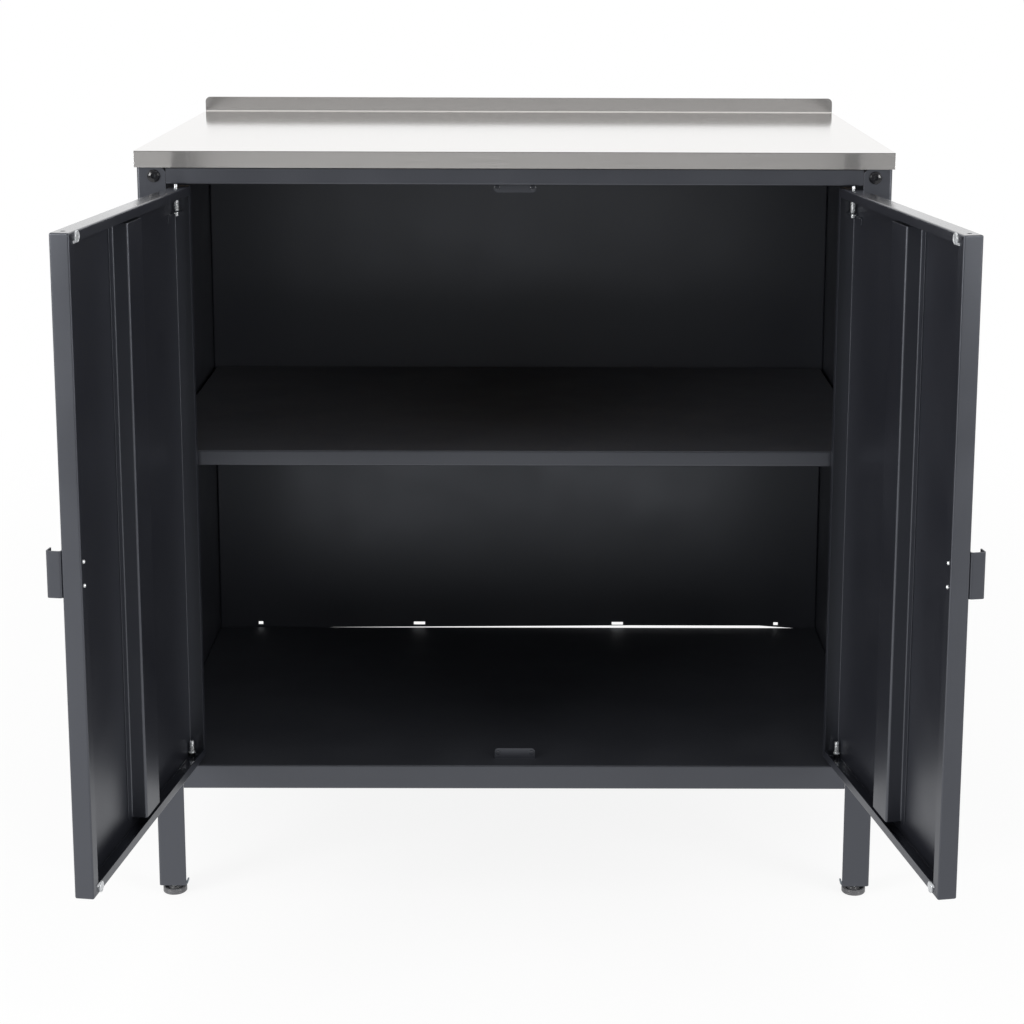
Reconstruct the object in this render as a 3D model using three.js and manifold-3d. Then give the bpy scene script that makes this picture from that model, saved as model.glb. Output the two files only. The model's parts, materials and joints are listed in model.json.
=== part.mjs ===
import * as THREE from 'three';
import { mergeVertices } from 'three/addons/utils/BufferGeometryUtils.js';
import Module from 'manifold-3d';

// Sizes in millimetres, heights over the floor, depths back from the front edge of the worktop

const worktop = {
  width: 800, depth: 500, top: 838, edge: 17.5, sheet: 1, bend: 1.2, hem: 6,
  upstand: 18, upstandCorner: 6, planCorner: 2.2, coreInset: 0.4, coreFront: 3,
};
const frame = {
  sideInset: 2, frontInset: 3, leg: 30.3, sheet: 1.5, bend: 1.5, footHeight: 12.6, topCorner: 7,
  boltInset: 18, boltDrop: 9.2, boltHole: 3.2,
};
const rail = {
  height: 18, sheet: 1.2, bend: 0.8, topFlange: 17, pinHole: 2.35, endGap: 0.3,
  tongueRoot: 27.7, tongueClear: 6, tongueMargin: 2.5, rearFlange: 12,
};
const stopTab = {
  plane: 24.6, width: 45, drop: 10.4, rise: 11.6, corner: 4, relief: 1.5, overlap: 8,
};
const panel = { sheet: 1, bend: 1, flange: 12, clear: 0.3, cornerClear: 3.5 };
const back = {
  setIn: 15, sheet: 1, bend: 1, lap: 1.5,
  bow: 3.8, bowStart: -320, bowCrest: 150, bowRun: 320, bowEnd: 372,
};
const slot = { width: 15, height: 4, rise: 3, inner: 131.5, endInset: 53.5, endWidth: 6 };
const floor = {
  top: 155.5, lip: 27.6, sheet: 1.2, bend: 1, rearGap: 1, returnDepth: 13, band: 40, pinHole: 2.8,
};
const shelf = {
  top: 509, lip: 17.4, sheet: 1.2, bend: 1, sideGap: 4, front: 26, rearGap: 4, returnDepth: 10,
};
const clip = { width: 24, leg: 11.5, drop: 18, sheet: 1.2, bend: 1, frontInset: 44, rearInset: 48 };
const bracket = {
  rise: 15, inset: 6.3, lip: 5, sheet: 1.6, bend: 1.2, depth: 26.5, hole: 4.3, ear: 7, earReach: 1.8,
};
const foot = {
  padRadius: 13.3, padEdge: 3.4, padTop: 7.2, padNeck: 9.4, stemRadius: 4, stemTop: 32,
  stemChamfer: 0.8, nutRadius: 7.4, nutHeight: 4.4, nutGap: 0.3,
};
const bolt = {
  headRadius: 6.8, headHeight: 2.9, rim: 0.7, recess: 2.2, recessDepth: 1.5, shank: 3, length: 12,
  nut: 5.6, nutHeight: 4,
};
const door = {
  pivotInset: 9.7, pivotY: 8, skinOut: 5, deep: 19, heel: 8, middleGap: 3, footGap: 7, headGap: 2.5,
  sheet: 1, bend: 0.8, lip: 10, freeLip: 13, seam: 0.4, seamMargin: 2.2, ventRadius: 2.5,
  ventInset: 11.5,
};
const opening = { left: 98.1, right: 99.9 };
const hat = { height: 17.2, crown: 42, foot: 10, sheet: 1, bend: 1.5, endGap: 13, gap: 0.05 };
const hatShift = { left: -1, right: 8 };
const handle = {
  rise: 0.6, height: 45, out: 15.3, base: 14, lip: 12, sheet: 1.5, bend: 1.2,
  screwInset: 6, screwDrop: 10.5, screwSpacing: 23, screwHole: 2.2,
};
const screw = {
  headRadius: 3.4, headHeight: 1.8, edge: 0.6, shank: 1.9, tip: 1.4, point: 0.7, slot: 1.3, slotDepth: 1,
};
const topPin = {
  radius: 2, drop: 32, rise: 9, chamfer: 0.6, collar: 3.2, collarDrop: 11, collarHeight: 1.5, travelHole: 2.3,
};
const cotter = { radius: 0.6, gap: 0.3, near: 4, far: 7, hook: 2.4 };
const coil = { radius: 2.6, wire: 0.4, turns: 8, gap: 0.06 };
const pinBracket = {
  topDrop: 26.2, drop: 12, half: 4.5, reach: 19, out: 5, sheet: 1, bend: 0.6, hole: 2.25, plateDrop: 2.8,
};
const bottomPin = {
  radius: 2.5, drop: 14.5, rise: 19.5, chamfer: 0.7, groove: 2.1, grooveRise: 14.5, grooveHeight: 1.2,
  washer: 3.7, washerRise: 5.7, washerHeight: 1.4,
};
const bush = { radius: 5, neck: 3.5, bore: 2.55, gap: 0.3, flangeGap: 0.15, rise: 5.4, hole: 3.65 };
const magnet = {
  radius: 5.5, thick: 1.6, chamfer: 0.3, inset: 18.5, tail: 4, tailHeight: 2.6, tailThick: 0.8,
};
const bumper = { radius: 3, thick: 0.7, chamfer: 0.2, inset: 19, rise: 5.2 };

const overrun = 2;
const mergeStep = 0.0001;
const steps = { bend: 2, corner: 5, small: 16, round: 24, coil: 8, wire: 5, hex: 6 };
const share = { half: 1 / 2, quarter: 1 / 4 };

// Heights and planes that follow from the sizes above

const underTop = worktop.top - worktop.edge;
const postX = worktop.width * share.half - frame.sideInset;
const innerX = postX - frame.leg;
const panelX = postX - frame.sheet;
const wallX = panelX - panel.sheet;
const bendEnd = frame.sheet + frame.bend;
const frontY = frame.frontInset;
const rearY = worktop.depth - frame.frontInset;
const boltHeight = underTop - frame.boltDrop;
const railFoot = underTop - rail.height;
const tongueStart = innerX - rail.tongueRoot;
const tongueEnd = postX - rail.tongueClear;
const backY = rearY - back.setIn;
const floorRear = backY - floor.rearGap;
const shelfHalf = wallX - shelf.sideGap;
const shelfRear = backY - shelf.rearGap;
const pivotX = innerX - door.pivotInset;
const reach = pivotX - door.middleGap * share.half;
const doorFoot = floor.top + door.footGap;
const doorHead = railFoot - door.headGap;
const rim = door.deep - door.skinOut;
const skinIn = -door.skinOut + door.sheet;
const handleFoot = (doorFoot + doorHead - handle.height) * share.half + handle.rise;
const screwTop = handleFoot + handle.height - handle.screwDrop;
const ledge = doorHead - pinBracket.topDrop;
const collarFoot = doorHead - topPin.collarDrop;

const finish = {
  coat: { color: '#3c3d41', roughness: 0.55, metalness: 0.1 },
  stainless: { color: '#c8c5c0', roughness: 0.3, metalness: 1 },
  zinc: { color: '#b9bbbd', roughness: 0.35, metalness: 1 },
  dark: { color: '#26262a', roughness: 0.5, metalness: 0.3 },
  board: { color: '#c2a883', roughness: 0.8, metalness: 0 },
  plastic: { color: '#1b1b1d', roughness: 0.6, metalness: 0 },
  clear: { color: '#d9dbd8', roughness: 0.25, metalness: 0 },
};

const wasm = await Module();
wasm.setup();

// Shape helpers

function solid(geometry) {
  const bare = new THREE.BufferGeometry();
  bare.setAttribute('position', geometry.getAttribute('position').clone());
  if (geometry.index) bare.setIndex(geometry.index.clone());
  const merged = mergeVertices(bare, mergeStep);
  return new wasm.Manifold(new wasm.Mesh({
    numProp: 3,
    vertProperties: merged.getAttribute('position').array,
    triVerts: Uint32Array.from(merged.index.array),
  }));
}

// A closed outline in the plane square to the axis, given as X Y, X Z or Y Z pairs
function prism(axis, points, [from, to]) {
  const flat = points.map(([a, b]) => (axis === 'y' ? new THREE.Vector2(b, a) : new THREE.Vector2(a, b)));
  const geometry = new THREE.ExtrudeGeometry(new THREE.Shape(flat), {
    depth: to - from, bevelEnabled: false, steps: 1,
  });
  geometry.translate(0, 0, from);
  const [ex, ey, ez] = [[1, 0, 0], [0, 1, 0], [0, 0, 1]].map((v) => new THREE.Vector3(...v));
  const turn = new THREE.Matrix4();
  if (axis === 'x') turn.makeBasis(ey, ez, ex);
  if (axis === 'y') turn.makeBasis(ez, ex, ey);
  geometry.applyMatrix4(turn);
  return solid(geometry);
}

function block([x0, x1], [y0, y1], [z0, z1]) {
  const geometry = new THREE.BoxGeometry(x1 - x0, y1 - y0, z1 - z0);
  geometry.translate((x0 + x1) * share.half, (y0 + y1) * share.half, (z0 + z1) * share.half);
  return solid(geometry);
}

function disc(a, b, radius, sides = steps.small) {
  return Array.from({ length: sides }, (_, i) => {
    const angle = (i + share.half) * 2 * Math.PI / sides;
    return [a + radius * Math.cos(angle), b + radius * Math.sin(angle)];
  });
}

// A rectangle whose four corners have the radii given from the low corner round
function rounded([a0, a1], [b0, b1], radii, count = steps.corner) {
  const corners = [[a0, b0, 1, 1], [a1, b0, -1, 1], [a1, b1, -1, -1], [a0, b1, 1, -1]];
  return corners.flatMap(([a, b, da, db], i) => {
    const radius = radii[i];
    if (radius === 0) return [[a, b]];
    const start = Math.PI + i * Math.PI * share.half;
    return Array.from({ length: count + 1 }, (_, k) => {
      const angle = start + k * Math.PI * share.half / count;
      return [a + da * radius + radius * Math.cos(angle), b + db * radius + radius * Math.sin(angle)];
    });
  });
}

// The section of a bent sheet from the corners of one face, side 1 for metal on its left
function folded(path, thick, bend, side) {
  const face = [];
  const far = [];
  path.forEach(([px, py, ownBend], i) => {
    const point = new THREE.Vector2(px, py);
    const before = new THREE.Vector2(...(path[i - 1] ?? path[i]));
    const after = new THREE.Vector2(...(path[i + 1] ?? path[i]));
    const into = point.clone().sub(before).normalize();
    const out = after.clone().sub(point).normalize();
    if (i === 0 || i === path.length - 1) {
      const along = i === 0 ? out : into;
      face.push([px, py]);
      far.push([px - along.y * side * thick, py + along.x * side * thick]);
      return;
    }
    const turn = Math.atan2(into.cross(out), into.dot(out));
    const inner = ownBend ?? bend;
    const isInside = Math.sign(turn) === side;
    const radius = isInside ? inner + thick : inner;
    const other = isInside ? inner : inner + thick;
    const start = point.clone().addScaledVector(into, -radius * Math.tan(Math.abs(turn) * share.half));
    const toCentre = new THREE.Vector2(-into.y, into.x).multiplyScalar(Math.sign(turn));
    const centre = start.clone().addScaledVector(toCentre, radius);
    for (let k = 0; k <= steps.bend; k += 1) {
      const ray = toCentre.clone().negate().rotateAround(new THREE.Vector2(), turn * k / steps.bend);
      face.push([centre.x + ray.x * radius, centre.y + ray.y * radius]);
      far.push([centre.x + ray.x * other, centre.y + ray.y * other]);
    }
  });
  return [...face, ...far.reverse()];
}

// A turned solid about the Z axis from radius and height pairs
function turned(profile, sides = steps.small) {
  const geometry = new THREE.LatheGeometry(profile.map(([r, z]) => new THREE.Vector2(r, z)), sides);
  geometry.rotateX(Math.PI * share.half);
  return solid(geometry);
}

const joined = (shapes) => shapes.reduce((sum, shape) => sum.add(shape));
const mirrorX = (shape) => shape.mirror([1, 0, 0]);

const parts = [];
function add(name, shape, material) {
  parts.push({ name, shape, material });
}

function addPair(name, shape, material) {
  add(`${name}_left`, shape, material);
  add(`${name}_right`, mirrorX(shape), material);
}

// Worktop

function worktopSkin() {
  const half = worktop.width * share.half;
  const double = 2 * worktop.sheet;
  const crest = worktop.top + worktop.upstand;
  const round = worktop.bend + worktop.sheet;
  const under = worktop.top - worktop.sheet;
  const folds = (inset, far, [low, high], radius) => {
    const wide = [-half + inset, half - inset];
    return prism('x', rounded([inset, far], [low, high], [0, 0, 0, radius], steps.bend), wide)
      .intersect(prism('y', rounded(wide, [low, high], [0, 0, radius, radius], steps.bend), [inset, far]));
  };
  const plan = prism('z', rounded([-half, half], [0, worktop.depth],
    [worktop.planCorner, worktop.planCorner, 0, 0]), [underTop - overrun, crest + overrun]);
  const outer = folds(0, worktop.depth, [underTop, worktop.top], round).intersect(plan);
  const upper = folds(worktop.sheet, worktop.depth + overrun, [underTop + worktop.hem, under], worktop.bend);
  const lower = block([-half + double, half - double], [double, worktop.depth + overrun],
    [underTop - overrun, under - round]);
  const corner = worktop.upstandCorner;
  const standing = prism('y', rounded([-half, half], [under, crest], [0, 0, corner, corner]),
    [worktop.depth - double, worktop.depth]);
  const turnUp = prism('x', folded([
    [worktop.depth - worktop.edge, worktop.top], [worktop.depth - double, worktop.top],
    [worktop.depth - double, worktop.top + worktop.hem],
  ], worktop.sheet, worktop.bend, -1), [-half + round, half - round]);
  return outer.subtract(upper).subtract(lower).add(standing).add(turnUp);
}

function worktopCore() {
  const half = worktop.width * share.half - 2 * worktop.sheet - worktop.coreInset;
  return block([-half, half], [worktop.coreFront, rearY], [underTop, worktop.top - worktop.sheet]);
}

// Posts and rails

function post(hasBolt) {
  const angle = folded([[-innerX, frontY], [-postX, frontY], [-postX, frontY + frame.leg]],
    frame.sheet, frame.bend, -1);
  let shape = prism('z', angle, [frame.footHeight, underTop]);
  const corner = block([-innerX - frame.topCorner, -innerX + overrun], [0, frontY + 2 * frame.sheet],
    [underTop - frame.topCorner, underTop + overrun]);
  const arc = disc(-innerX - frame.topCorner, underTop - frame.topCorner, frame.topCorner, steps.round);
  const keep = prism('y', arc, [-overrun, frontY + 2 * frame.sheet + overrun]);
  shape = shape.subtract(corner.subtract(keep));
  if (!hasBolt) return shape;
  return shape.subtract(prism('y', disc(-postX + frame.boltInset, boltHeight, frame.boltHole),
    [-overrun, frontY + frame.sheet + overrun]));
}

// A front piece turned to the rear of the cabinet
const toRear = (shape) => shape.mirror([0, 1, 0]).translate([0, worktop.depth, 0]);

function railChannel(rearEdge) {
  const section = folded([
    [frontY + rail.topFlange, underTop], [frontY, underTop], [frontY, railFoot], [rearEdge, railFoot],
  ], rail.sheet, rail.bend, 1);
  const end = innerX - rail.endGap;
  const channel = prism('x', section, [-end, end]);
  const inside = frontY + rail.sheet;
  const behindPost = frontY + frame.sheet;
  const height = [railFoot + rail.tongueMargin, underTop - rail.tongueMargin];
  const filler = block([-end, -tongueStart], [inside, behindPost + rail.sheet], height);
  const tongue = block([-tongueEnd, -tongueStart], [behindPost, behindPost + rail.sheet], height)
    .subtract(prism('y', disc(-postX + frame.boltInset, boltHeight, frame.boltHole),
      [inside, behindPost + rail.sheet + overrun]));
  return joined([channel, filler, tongue, mirrorX(filler), mirrorX(tongue)]);
}

function tab(path, height, radii) {
  const half = stopTab.width * share.half;
  const outline = rounded([-half, half], height, radii);
  return prism('x', folded(path, rail.sheet, rail.bend, 1), [-half, half])
    .intersect(prism('y', outline, [0, stopTab.plane + 2 * rail.sheet]));
}

function pinHoles(radius, height) {
  const hole = prism('z', disc(-pivotX, door.pivotY, radius), height);
  return hole.add(mirrorX(hole));
}

function frontRail() {
  const foot = railFoot - stopTab.drop;
  const hanging = tab([
    [stopTab.plane - stopTab.overlap, railFoot], [stopTab.plane, railFoot], [stopTab.plane, foot],
  ], [foot, railFoot + rail.sheet], [stopTab.corner, stopTab.corner, 0, 0]);
  const channel = railChannel(stopTab.plane - rail.bend);
  return channel.add(hanging)
    .subtract(pinHoles(rail.pinHole, [railFoot - overrun, railFoot + rail.sheet + overrun]));
}

// Side, back and floor panels

function sidePanel() {
  const low = floor.top - floor.lip - panel.sheet;
  const section = folded([
    [-panelX + panel.flange, underTop], [-panelX, underTop], [-panelX, low], [-panelX + panel.flange, low],
  ], panel.sheet, panel.bend, 1);
  const near = frontY + bendEnd + panel.clear;
  const full = prism('y', section, [near, worktop.depth - near]);
  const clear = frontY + frame.leg + panel.cornerClear;
  const corners = [[near - overrun, clear], [worktop.depth - clear, worktop.depth - near + overrun]];
  const heights = [
    [low - overrun, low + panel.flange * share.quarter], [underTop - 2 * panel.sheet, underTop + overrun],
  ];
  const across = [-wallX, -panelX + panel.flange + overrun];
  const notches = corners.flatMap((y) => heights.map((z) => block(across, y, z)));
  return full.subtract(joined(notches));
}

function backPanel() {
  const flangeEnd = rearY - frame.sheet - panel.clear;
  const section = folded([
    [-wallX, flangeEnd], [-wallX, backY], [wallX, backY], [wallX, flangeEnd],
  ], back.sheet, back.bend, 1);
  const low = floor.top - back.lap;
  const depth = [backY - overrun, backY + back.sheet + overrun];
  const height = [floor.top + slot.rise, floor.top + slot.rise + slot.height];
  const outer = wallX - slot.endInset;
  const slots = [
    [-outer, slot.endWidth], [-slot.inner, slot.width], [slot.inner, slot.width], [outer, slot.endWidth],
  ].map(([x, width]) => block([x - width * share.half, x + width * share.half], depth, height));
  const bow = prism('y', [
    [back.bowStart, low], [back.bowStart, low - overrun], [back.bowEnd, low - overrun], [back.bowEnd, low],
    [back.bowRun, low + back.bow], [back.bowCrest, low + back.bow],
  ], depth);
  return prism('z', section, [low, railFoot]).subtract(joined([...slots, bow]));
}

function floorPanel() {
  const foot = floor.top - floor.lip;
  const end = innerX - rail.endGap;
  const relief = floor.bend + floor.sheet;
  const front = prism('x', folded([
    [frontY + floor.returnDepth, foot], [frontY, foot], [frontY, floor.top], [floor.band, floor.top],
  ], floor.sheet, floor.bend, -1), [-end, end]);
  const rear = prism('x', folded([
    [frontY + frame.sheet + panel.clear, floor.top], [floorRear, floor.top], [floorRear, foot],
  ], floor.sheet, floor.bend, -1), [-wallX + relief, wallX - relief]);
  const side = prism('y', folded([
    [-wallX, foot + panel.bend], [-wallX, floor.top], [-wallX + floor.band, floor.top],
  ], floor.sheet, floor.bend, -1), [frontY + frame.sheet + panel.clear, floorRear - relief]);
  const head = floor.top + stopTab.rise;
  const half = stopTab.width * share.half;
  const standing = tab([
    [stopTab.plane, head], [stopTab.plane, floor.top - floor.sheet],
    [stopTab.plane + stopTab.overlap, floor.top - floor.sheet],
  ], [floor.top - floor.sheet, head], [0, 0, stopTab.corner, stopTab.corner]);
  const through = [floor.top - floor.sheet - overrun, floor.top + overrun];
  const window = block([-half, half],
    [stopTab.plane - stopTab.relief, stopTab.plane + rail.sheet + stopTab.relief], through);
  const ear = prism('z', disc(-half, stopTab.plane, stopTab.relief), through);
  return joined([front, rear, side, mirrorX(side)])
    .subtract(joined([window, ear, mirrorX(ear)])).add(standing)
    .subtract(pinHoles(floor.pinHole, through));
}

// Loose shelf and its clips

function shelfTray() {
  const foot = shelf.top - shelf.lip;
  const relief = shelf.bend + shelf.sheet;
  const long = prism('x', folded([
    [shelf.front + shelf.returnDepth, foot], [shelf.front, foot], [shelf.front, shelf.top],
    [shelfRear, shelf.top], [shelfRear, foot],
  ], shelf.sheet, shelf.bend, -1), [-shelfHalf + relief, shelfHalf - relief]);
  const side = prism('y', folded([
    [-shelfHalf, foot], [-shelfHalf, shelf.top],
    [-shelfHalf + 2 * shelf.lip, shelf.top],
  ], shelf.sheet, shelf.bend, -1), [shelf.front + relief, shelfRear - relief]);
  return joined([long, side, mirrorX(side)]);
}

function shelfClip(middle) {
  const seat = shelf.top - shelf.lip;
  const half = clip.width * share.half;
  return prism('y', folded([
    [-wallX + clip.leg, seat], [-wallX, seat], [-wallX, seat - clip.drop],
  ], clip.sheet, clip.bend, 1), [middle - half, middle + half]);
}

// Levelling feet

const footX = (postX + innerX) * share.half;
const footY = frontY + frame.leg * share.half;

function footBracket() {
  const low = frame.footHeight;
  const near = frontY + bendEnd;
  const end = -innerX - bracket.inset;
  const section = folded([
    [-panelX, low + bracket.rise], [-panelX, low], [end, low], [end, low + bracket.lip],
  ], bracket.sheet, bracket.bend, 1);
  const tip = -innerX + bracket.earReach;
  const ear = prism('y', folded([[end - bracket.ear, low], [tip, low], [tip, low + bracket.lip]],
    bracket.sheet, bracket.bend, 1), [near, near + bracket.ear]);
  return prism('y', section, [near, near + bracket.depth]).add(ear)
    .subtract(prism('z', disc(-footX, footY, bracket.hole), [low - overrun, low + bracket.sheet + overrun]));
}

function footPad() {
  const dome = (foot.padEdge + foot.padTop) * share.half + foot.padEdge * share.quarter;
  return turned([
    [0, 0], [foot.padRadius, 0], [foot.padRadius, foot.padEdge],
    [(foot.padRadius + foot.padNeck) * share.half, dome], [foot.padNeck, foot.padTop], [0, foot.padTop],
  ], steps.round).translate([-footX, footY, 0]);
}

function footStem() {
  const stem = turned([
    [0, foot.padTop], [foot.stemRadius, foot.padTop], [foot.stemRadius, foot.stemTop - foot.stemChamfer],
    [foot.stemRadius - foot.stemChamfer, foot.stemTop], [0, foot.stemTop],
  ]);
  const nutTop = frame.footHeight - foot.nutGap;
  const nut = prism('z', disc(0, 0, foot.nutRadius, steps.hex), [nutTop - foot.nutHeight, nutTop]);
  return stem.add(nut).translate([-footX, footY, 0]);
}

function postBolt() {
  const body = turned([
    [0, -bolt.headHeight], [bolt.headRadius * share.half, -bolt.headHeight],
    [bolt.headRadius - bolt.rim, -bolt.headHeight * share.half], [bolt.headRadius, -bolt.rim],
    [bolt.headRadius, 0], [bolt.shank, 0], [bolt.shank, bolt.length], [0, bolt.length],
  ], steps.round);
  const recess = prism('z', disc(0, 0, bolt.recess, steps.hex),
    [-bolt.headHeight - overrun, -bolt.headHeight + bolt.recessDepth]);
  const seat = frame.sheet + rail.sheet;
  const nut = prism('z', disc(0, 0, bolt.nut, steps.hex), [seat, seat + bolt.nutHeight]);
  return body.subtract(recess).add(nut).rotate([-90, 0, 0])
    .translate([-postX + frame.boltInset, frontY, boltHeight]);
}

// Door pieces in the door's own frame: pivot at zero, skin towards -Y, free edge towards +X

const screwHoles = (depth) => [0, handle.screwSpacing].map((drop) => prism('y',
  disc(reach - handle.screwInset, screwTop - drop, handle.screwHole), depth));

function doorPan() {
  const round = door.bend + door.sheet;
  const corners = (radius) => [radius, radius, radius, radius];
  const wide = [-door.heel, reach];
  const thick = [-door.skinOut, rim];
  const tall = [doorFoot, doorHead];
  const inner = ([low, high]) => [low + door.sheet, high - door.sheet];
  const shell = (a, b, c, radius) => prism('z', rounded(a, b, corners(radius)), c)
    .intersect(prism('x', rounded(b, c, corners(radius)), a));
  const window = block([-door.heel + door.lip, reach - door.freeLip], [rim - 2 * door.sheet, rim + overrun],
    [doorFoot + door.lip, doorHead - door.lip]);
  const seams = [
    [-door.heel, doorFoot, door.lip, 1, 1], [reach, doorFoot, door.freeLip, -1, 1],
    [reach, doorHead, door.freeLip, -1, -1], [-door.heel, doorHead, door.lip, 1, -1],
  ].map(([x, z, lip, dx, dz]) => {
    const from = [x + dx * door.seamMargin, z + dz * door.seamMargin];
    const to = [x + dx * (lip + door.seam), z + dz * (door.lip + door.seam)];
    const step = door.seam * share.half;
    return prism('y', [
      [from[0] - dx * step, from[1] + dz * step], [from[0] + dx * step, from[1] - dz * step],
      [to[0] + dx * step, to[1] - dz * step], [to[0] - dx * step, to[1] + dz * step],
    ], [rim - door.sheet - overrun * share.quarter, rim + overrun]);
  });
  const through = [doorHead - door.sheet - overrun, doorHead + overrun];
  const screws = screwHoles([-door.skinOut - overrun, rim + overrun]);
  return shell(wide, thick, tall, round).subtract(shell(inner(wide), inner(thick), inner(tall), door.bend))
    .subtract(joined([window, ...seams, ...screws,
      prism('z', disc(0, 0, topPin.travelHole), through),
      prism('z', disc(reach - door.ventInset, (rim - door.skinOut) * share.half, door.ventRadius), through),
      prism('z', disc(0, 0, bush.hole), [doorFoot - overrun, doorFoot + door.sheet + overrun]),
    ]));
}

function hatStiffener(shift) {
  const centre = (reach - door.heel) * share.half + shift;
  const [near, far] = [centre - hat.crown * share.half, centre + hat.crown * share.half];
  const foot = skinIn + hat.gap + hat.sheet;
  const crest = skinIn + hat.height;
  const section = folded([
    [near - hat.foot, foot], [near, foot], [near, crest], [far, crest], [far, foot], [far + hat.foot, foot],
  ], hat.sheet, hat.bend, -1);
  return prism('z', section, [doorFoot + hat.endGap, doorHead - hat.endGap]);
}

function handlePull() {
  const section = folded([
    [reach - handle.base, -door.skinOut], [reach, -door.skinOut],
    [reach, -door.skinOut - handle.out], [reach - handle.lip, -door.skinOut - handle.out],
  ], handle.sheet, handle.bend, -1);
  const holes = screwHoles([-door.skinOut - handle.sheet - overrun, -door.skinOut + overrun]);
  return prism('z', section, [handleFoot, handleFoot + handle.height]).subtract(joined(holes));
}

function handleScrew(drop) {
  const length = handle.sheet + door.deep + screw.tip;
  const shape = turned([
    [0, -screw.headHeight], [screw.headRadius - screw.edge, -screw.headHeight],
    [screw.headRadius, -screw.headHeight + screw.edge], [screw.headRadius, 0], [screw.shank, 0],
    [screw.shank, length - screw.point], [screw.shank - screw.point, length], [0, length],
  ]);
  const cross = [0, 90].map((angle) => block([-screw.slot, screw.slot],
    [-screw.slot * share.quarter, screw.slot * share.quarter],
    [-screw.headHeight - overrun, -screw.headHeight + screw.slotDepth]).rotate([0, 0, angle]));
  return shape.subtract(joined(cross)).rotate([-90, 0, 0])
    .translate([reach - handle.screwInset, -door.skinOut - handle.sheet, screwTop - drop]);
}

function sprungPin() {
  const foot = doorHead - topPin.drop;
  const tip = doorHead + topPin.rise;
  const collarTop = collarFoot + topPin.collarHeight;
  const shaft = turned([
    [0, foot], [topPin.radius - topPin.chamfer, foot], [topPin.radius, foot + topPin.chamfer],
    [topPin.radius, collarFoot], [topPin.collar, collarFoot], [topPin.collar, collarTop],
    [topPin.radius, collarTop], [topPin.radius, tip - topPin.chamfer],
    [topPin.radius - topPin.chamfer, tip], [0, tip],
  ]);
  const height = ledge - pinBracket.sheet - cotter.gap - cotter.radius;
  const rod = prism('x', disc(0, height, cotter.radius, steps.coil), [-cotter.near, cotter.far]);
  const hook = prism('y', disc(cotter.far - cotter.radius, height, cotter.radius, steps.coil),
    [0, cotter.hook]);
  return joined([shaft, rod, hook]);
}

class Helix extends THREE.Curve {
  getPoint(t, target = new THREE.Vector3()) {
    const low = ledge + coil.wire + coil.gap;
    const high = collarFoot - coil.wire - coil.gap;
    const angle = 2 * Math.PI * coil.turns * t;
    return target.set(coil.radius * Math.cos(angle), coil.radius * Math.sin(angle), low + (high - low) * t);
  }
}

function pinSpring() {
  const wire = new THREE.Shape(disc(0, 0, coil.wire, steps.wire).map(([a, b]) => new THREE.Vector2(a, b)));
  return solid(new THREE.ExtrudeGeometry(wire, {
    steps: coil.turns * steps.coil, bevelEnabled: false, extrudePath: new Helix(),
  }));
}

// The least distance between centre line points over half a turn apart, less the wire
function springGap() {
  const count = coil.turns * steps.coil;
  const points = new Helix().getPoints(count);
  let least = Infinity;
  points.forEach((p, i) => points.slice(i + steps.coil * share.half).forEach((q) => {
    least = Math.min(least, p.distanceTo(q));
  }));
  return least - 2 * coil.wire;
}

function topBracket() {
  const plate = ledge - pinBracket.drop;
  const angle = prism('x', folded([
    [skinIn, plate], [skinIn, ledge], [pinBracket.out, ledge],
  ], pinBracket.sheet, pinBracket.bend, -1), [-pinBracket.half, pinBracket.half]);
  const side = block([0, pinBracket.reach], [skinIn, skinIn + pinBracket.sheet],
    [plate, ledge - pinBracket.plateDrop]);
  return angle.add(side).subtract(prism('z', disc(0, 0, pinBracket.hole),
    [ledge - pinBracket.sheet - overrun * share.quarter, ledge + overrun]));
}

function fixedPin() {
  const foot = doorFoot - bottomPin.drop;
  const tip = doorFoot + bottomPin.rise;
  const washerFoot = doorFoot + bottomPin.washerRise;
  const grooveFoot = doorFoot + bottomPin.grooveRise;
  const washerTop = washerFoot + bottomPin.washerHeight;
  const grooveTop = grooveFoot + bottomPin.grooveHeight;
  return turned([
    [0, foot], [bottomPin.radius - bottomPin.chamfer, foot], [bottomPin.radius, foot + bottomPin.chamfer],
    [bottomPin.radius, washerFoot], [bottomPin.washer, washerFoot], [bottomPin.washer, washerTop],
    [bottomPin.radius, washerTop], [bottomPin.radius, grooveFoot], [bottomPin.groove, grooveFoot],
    [bottomPin.groove, grooveTop], [bottomPin.radius, grooveTop],
    [bottomPin.radius, tip - bottomPin.chamfer], [bottomPin.radius - bottomPin.chamfer, tip], [0, tip],
  ]);
}

function pinBush() {
  const low = floor.top + bush.gap;
  const seat = doorFoot - bush.flangeGap;
  const tip = doorFoot + bush.rise;
  return turned([
    [bush.bore, low], [bush.radius, low], [bush.radius, seat], [bush.neck, seat], [bush.neck, tip],
    [bush.bore, tip], [bush.bore, low],
  ]);
}

// A round magnet with its tail on the side towards the middle of the door
function cornerMagnet(height, inward) {
  const centre = reach - magnet.inset;
  const cup = turned([
    [0, 0], [magnet.radius, 0], [magnet.radius, magnet.thick - magnet.chamfer],
    [magnet.radius - magnet.chamfer, magnet.thick], [0, magnet.thick],
  ], steps.round).rotate([-90, 0, 0]).translate([centre, rim, height]);
  const low = height + (inward > 0 ? magnet.radius - magnet.tailHeight : -magnet.radius);
  const tail = block([centre, centre + magnet.radius + magnet.tail], [rim, rim + magnet.tailThick],
    [low, low + magnet.tailHeight]);
  return cup.add(tail);
}

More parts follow.
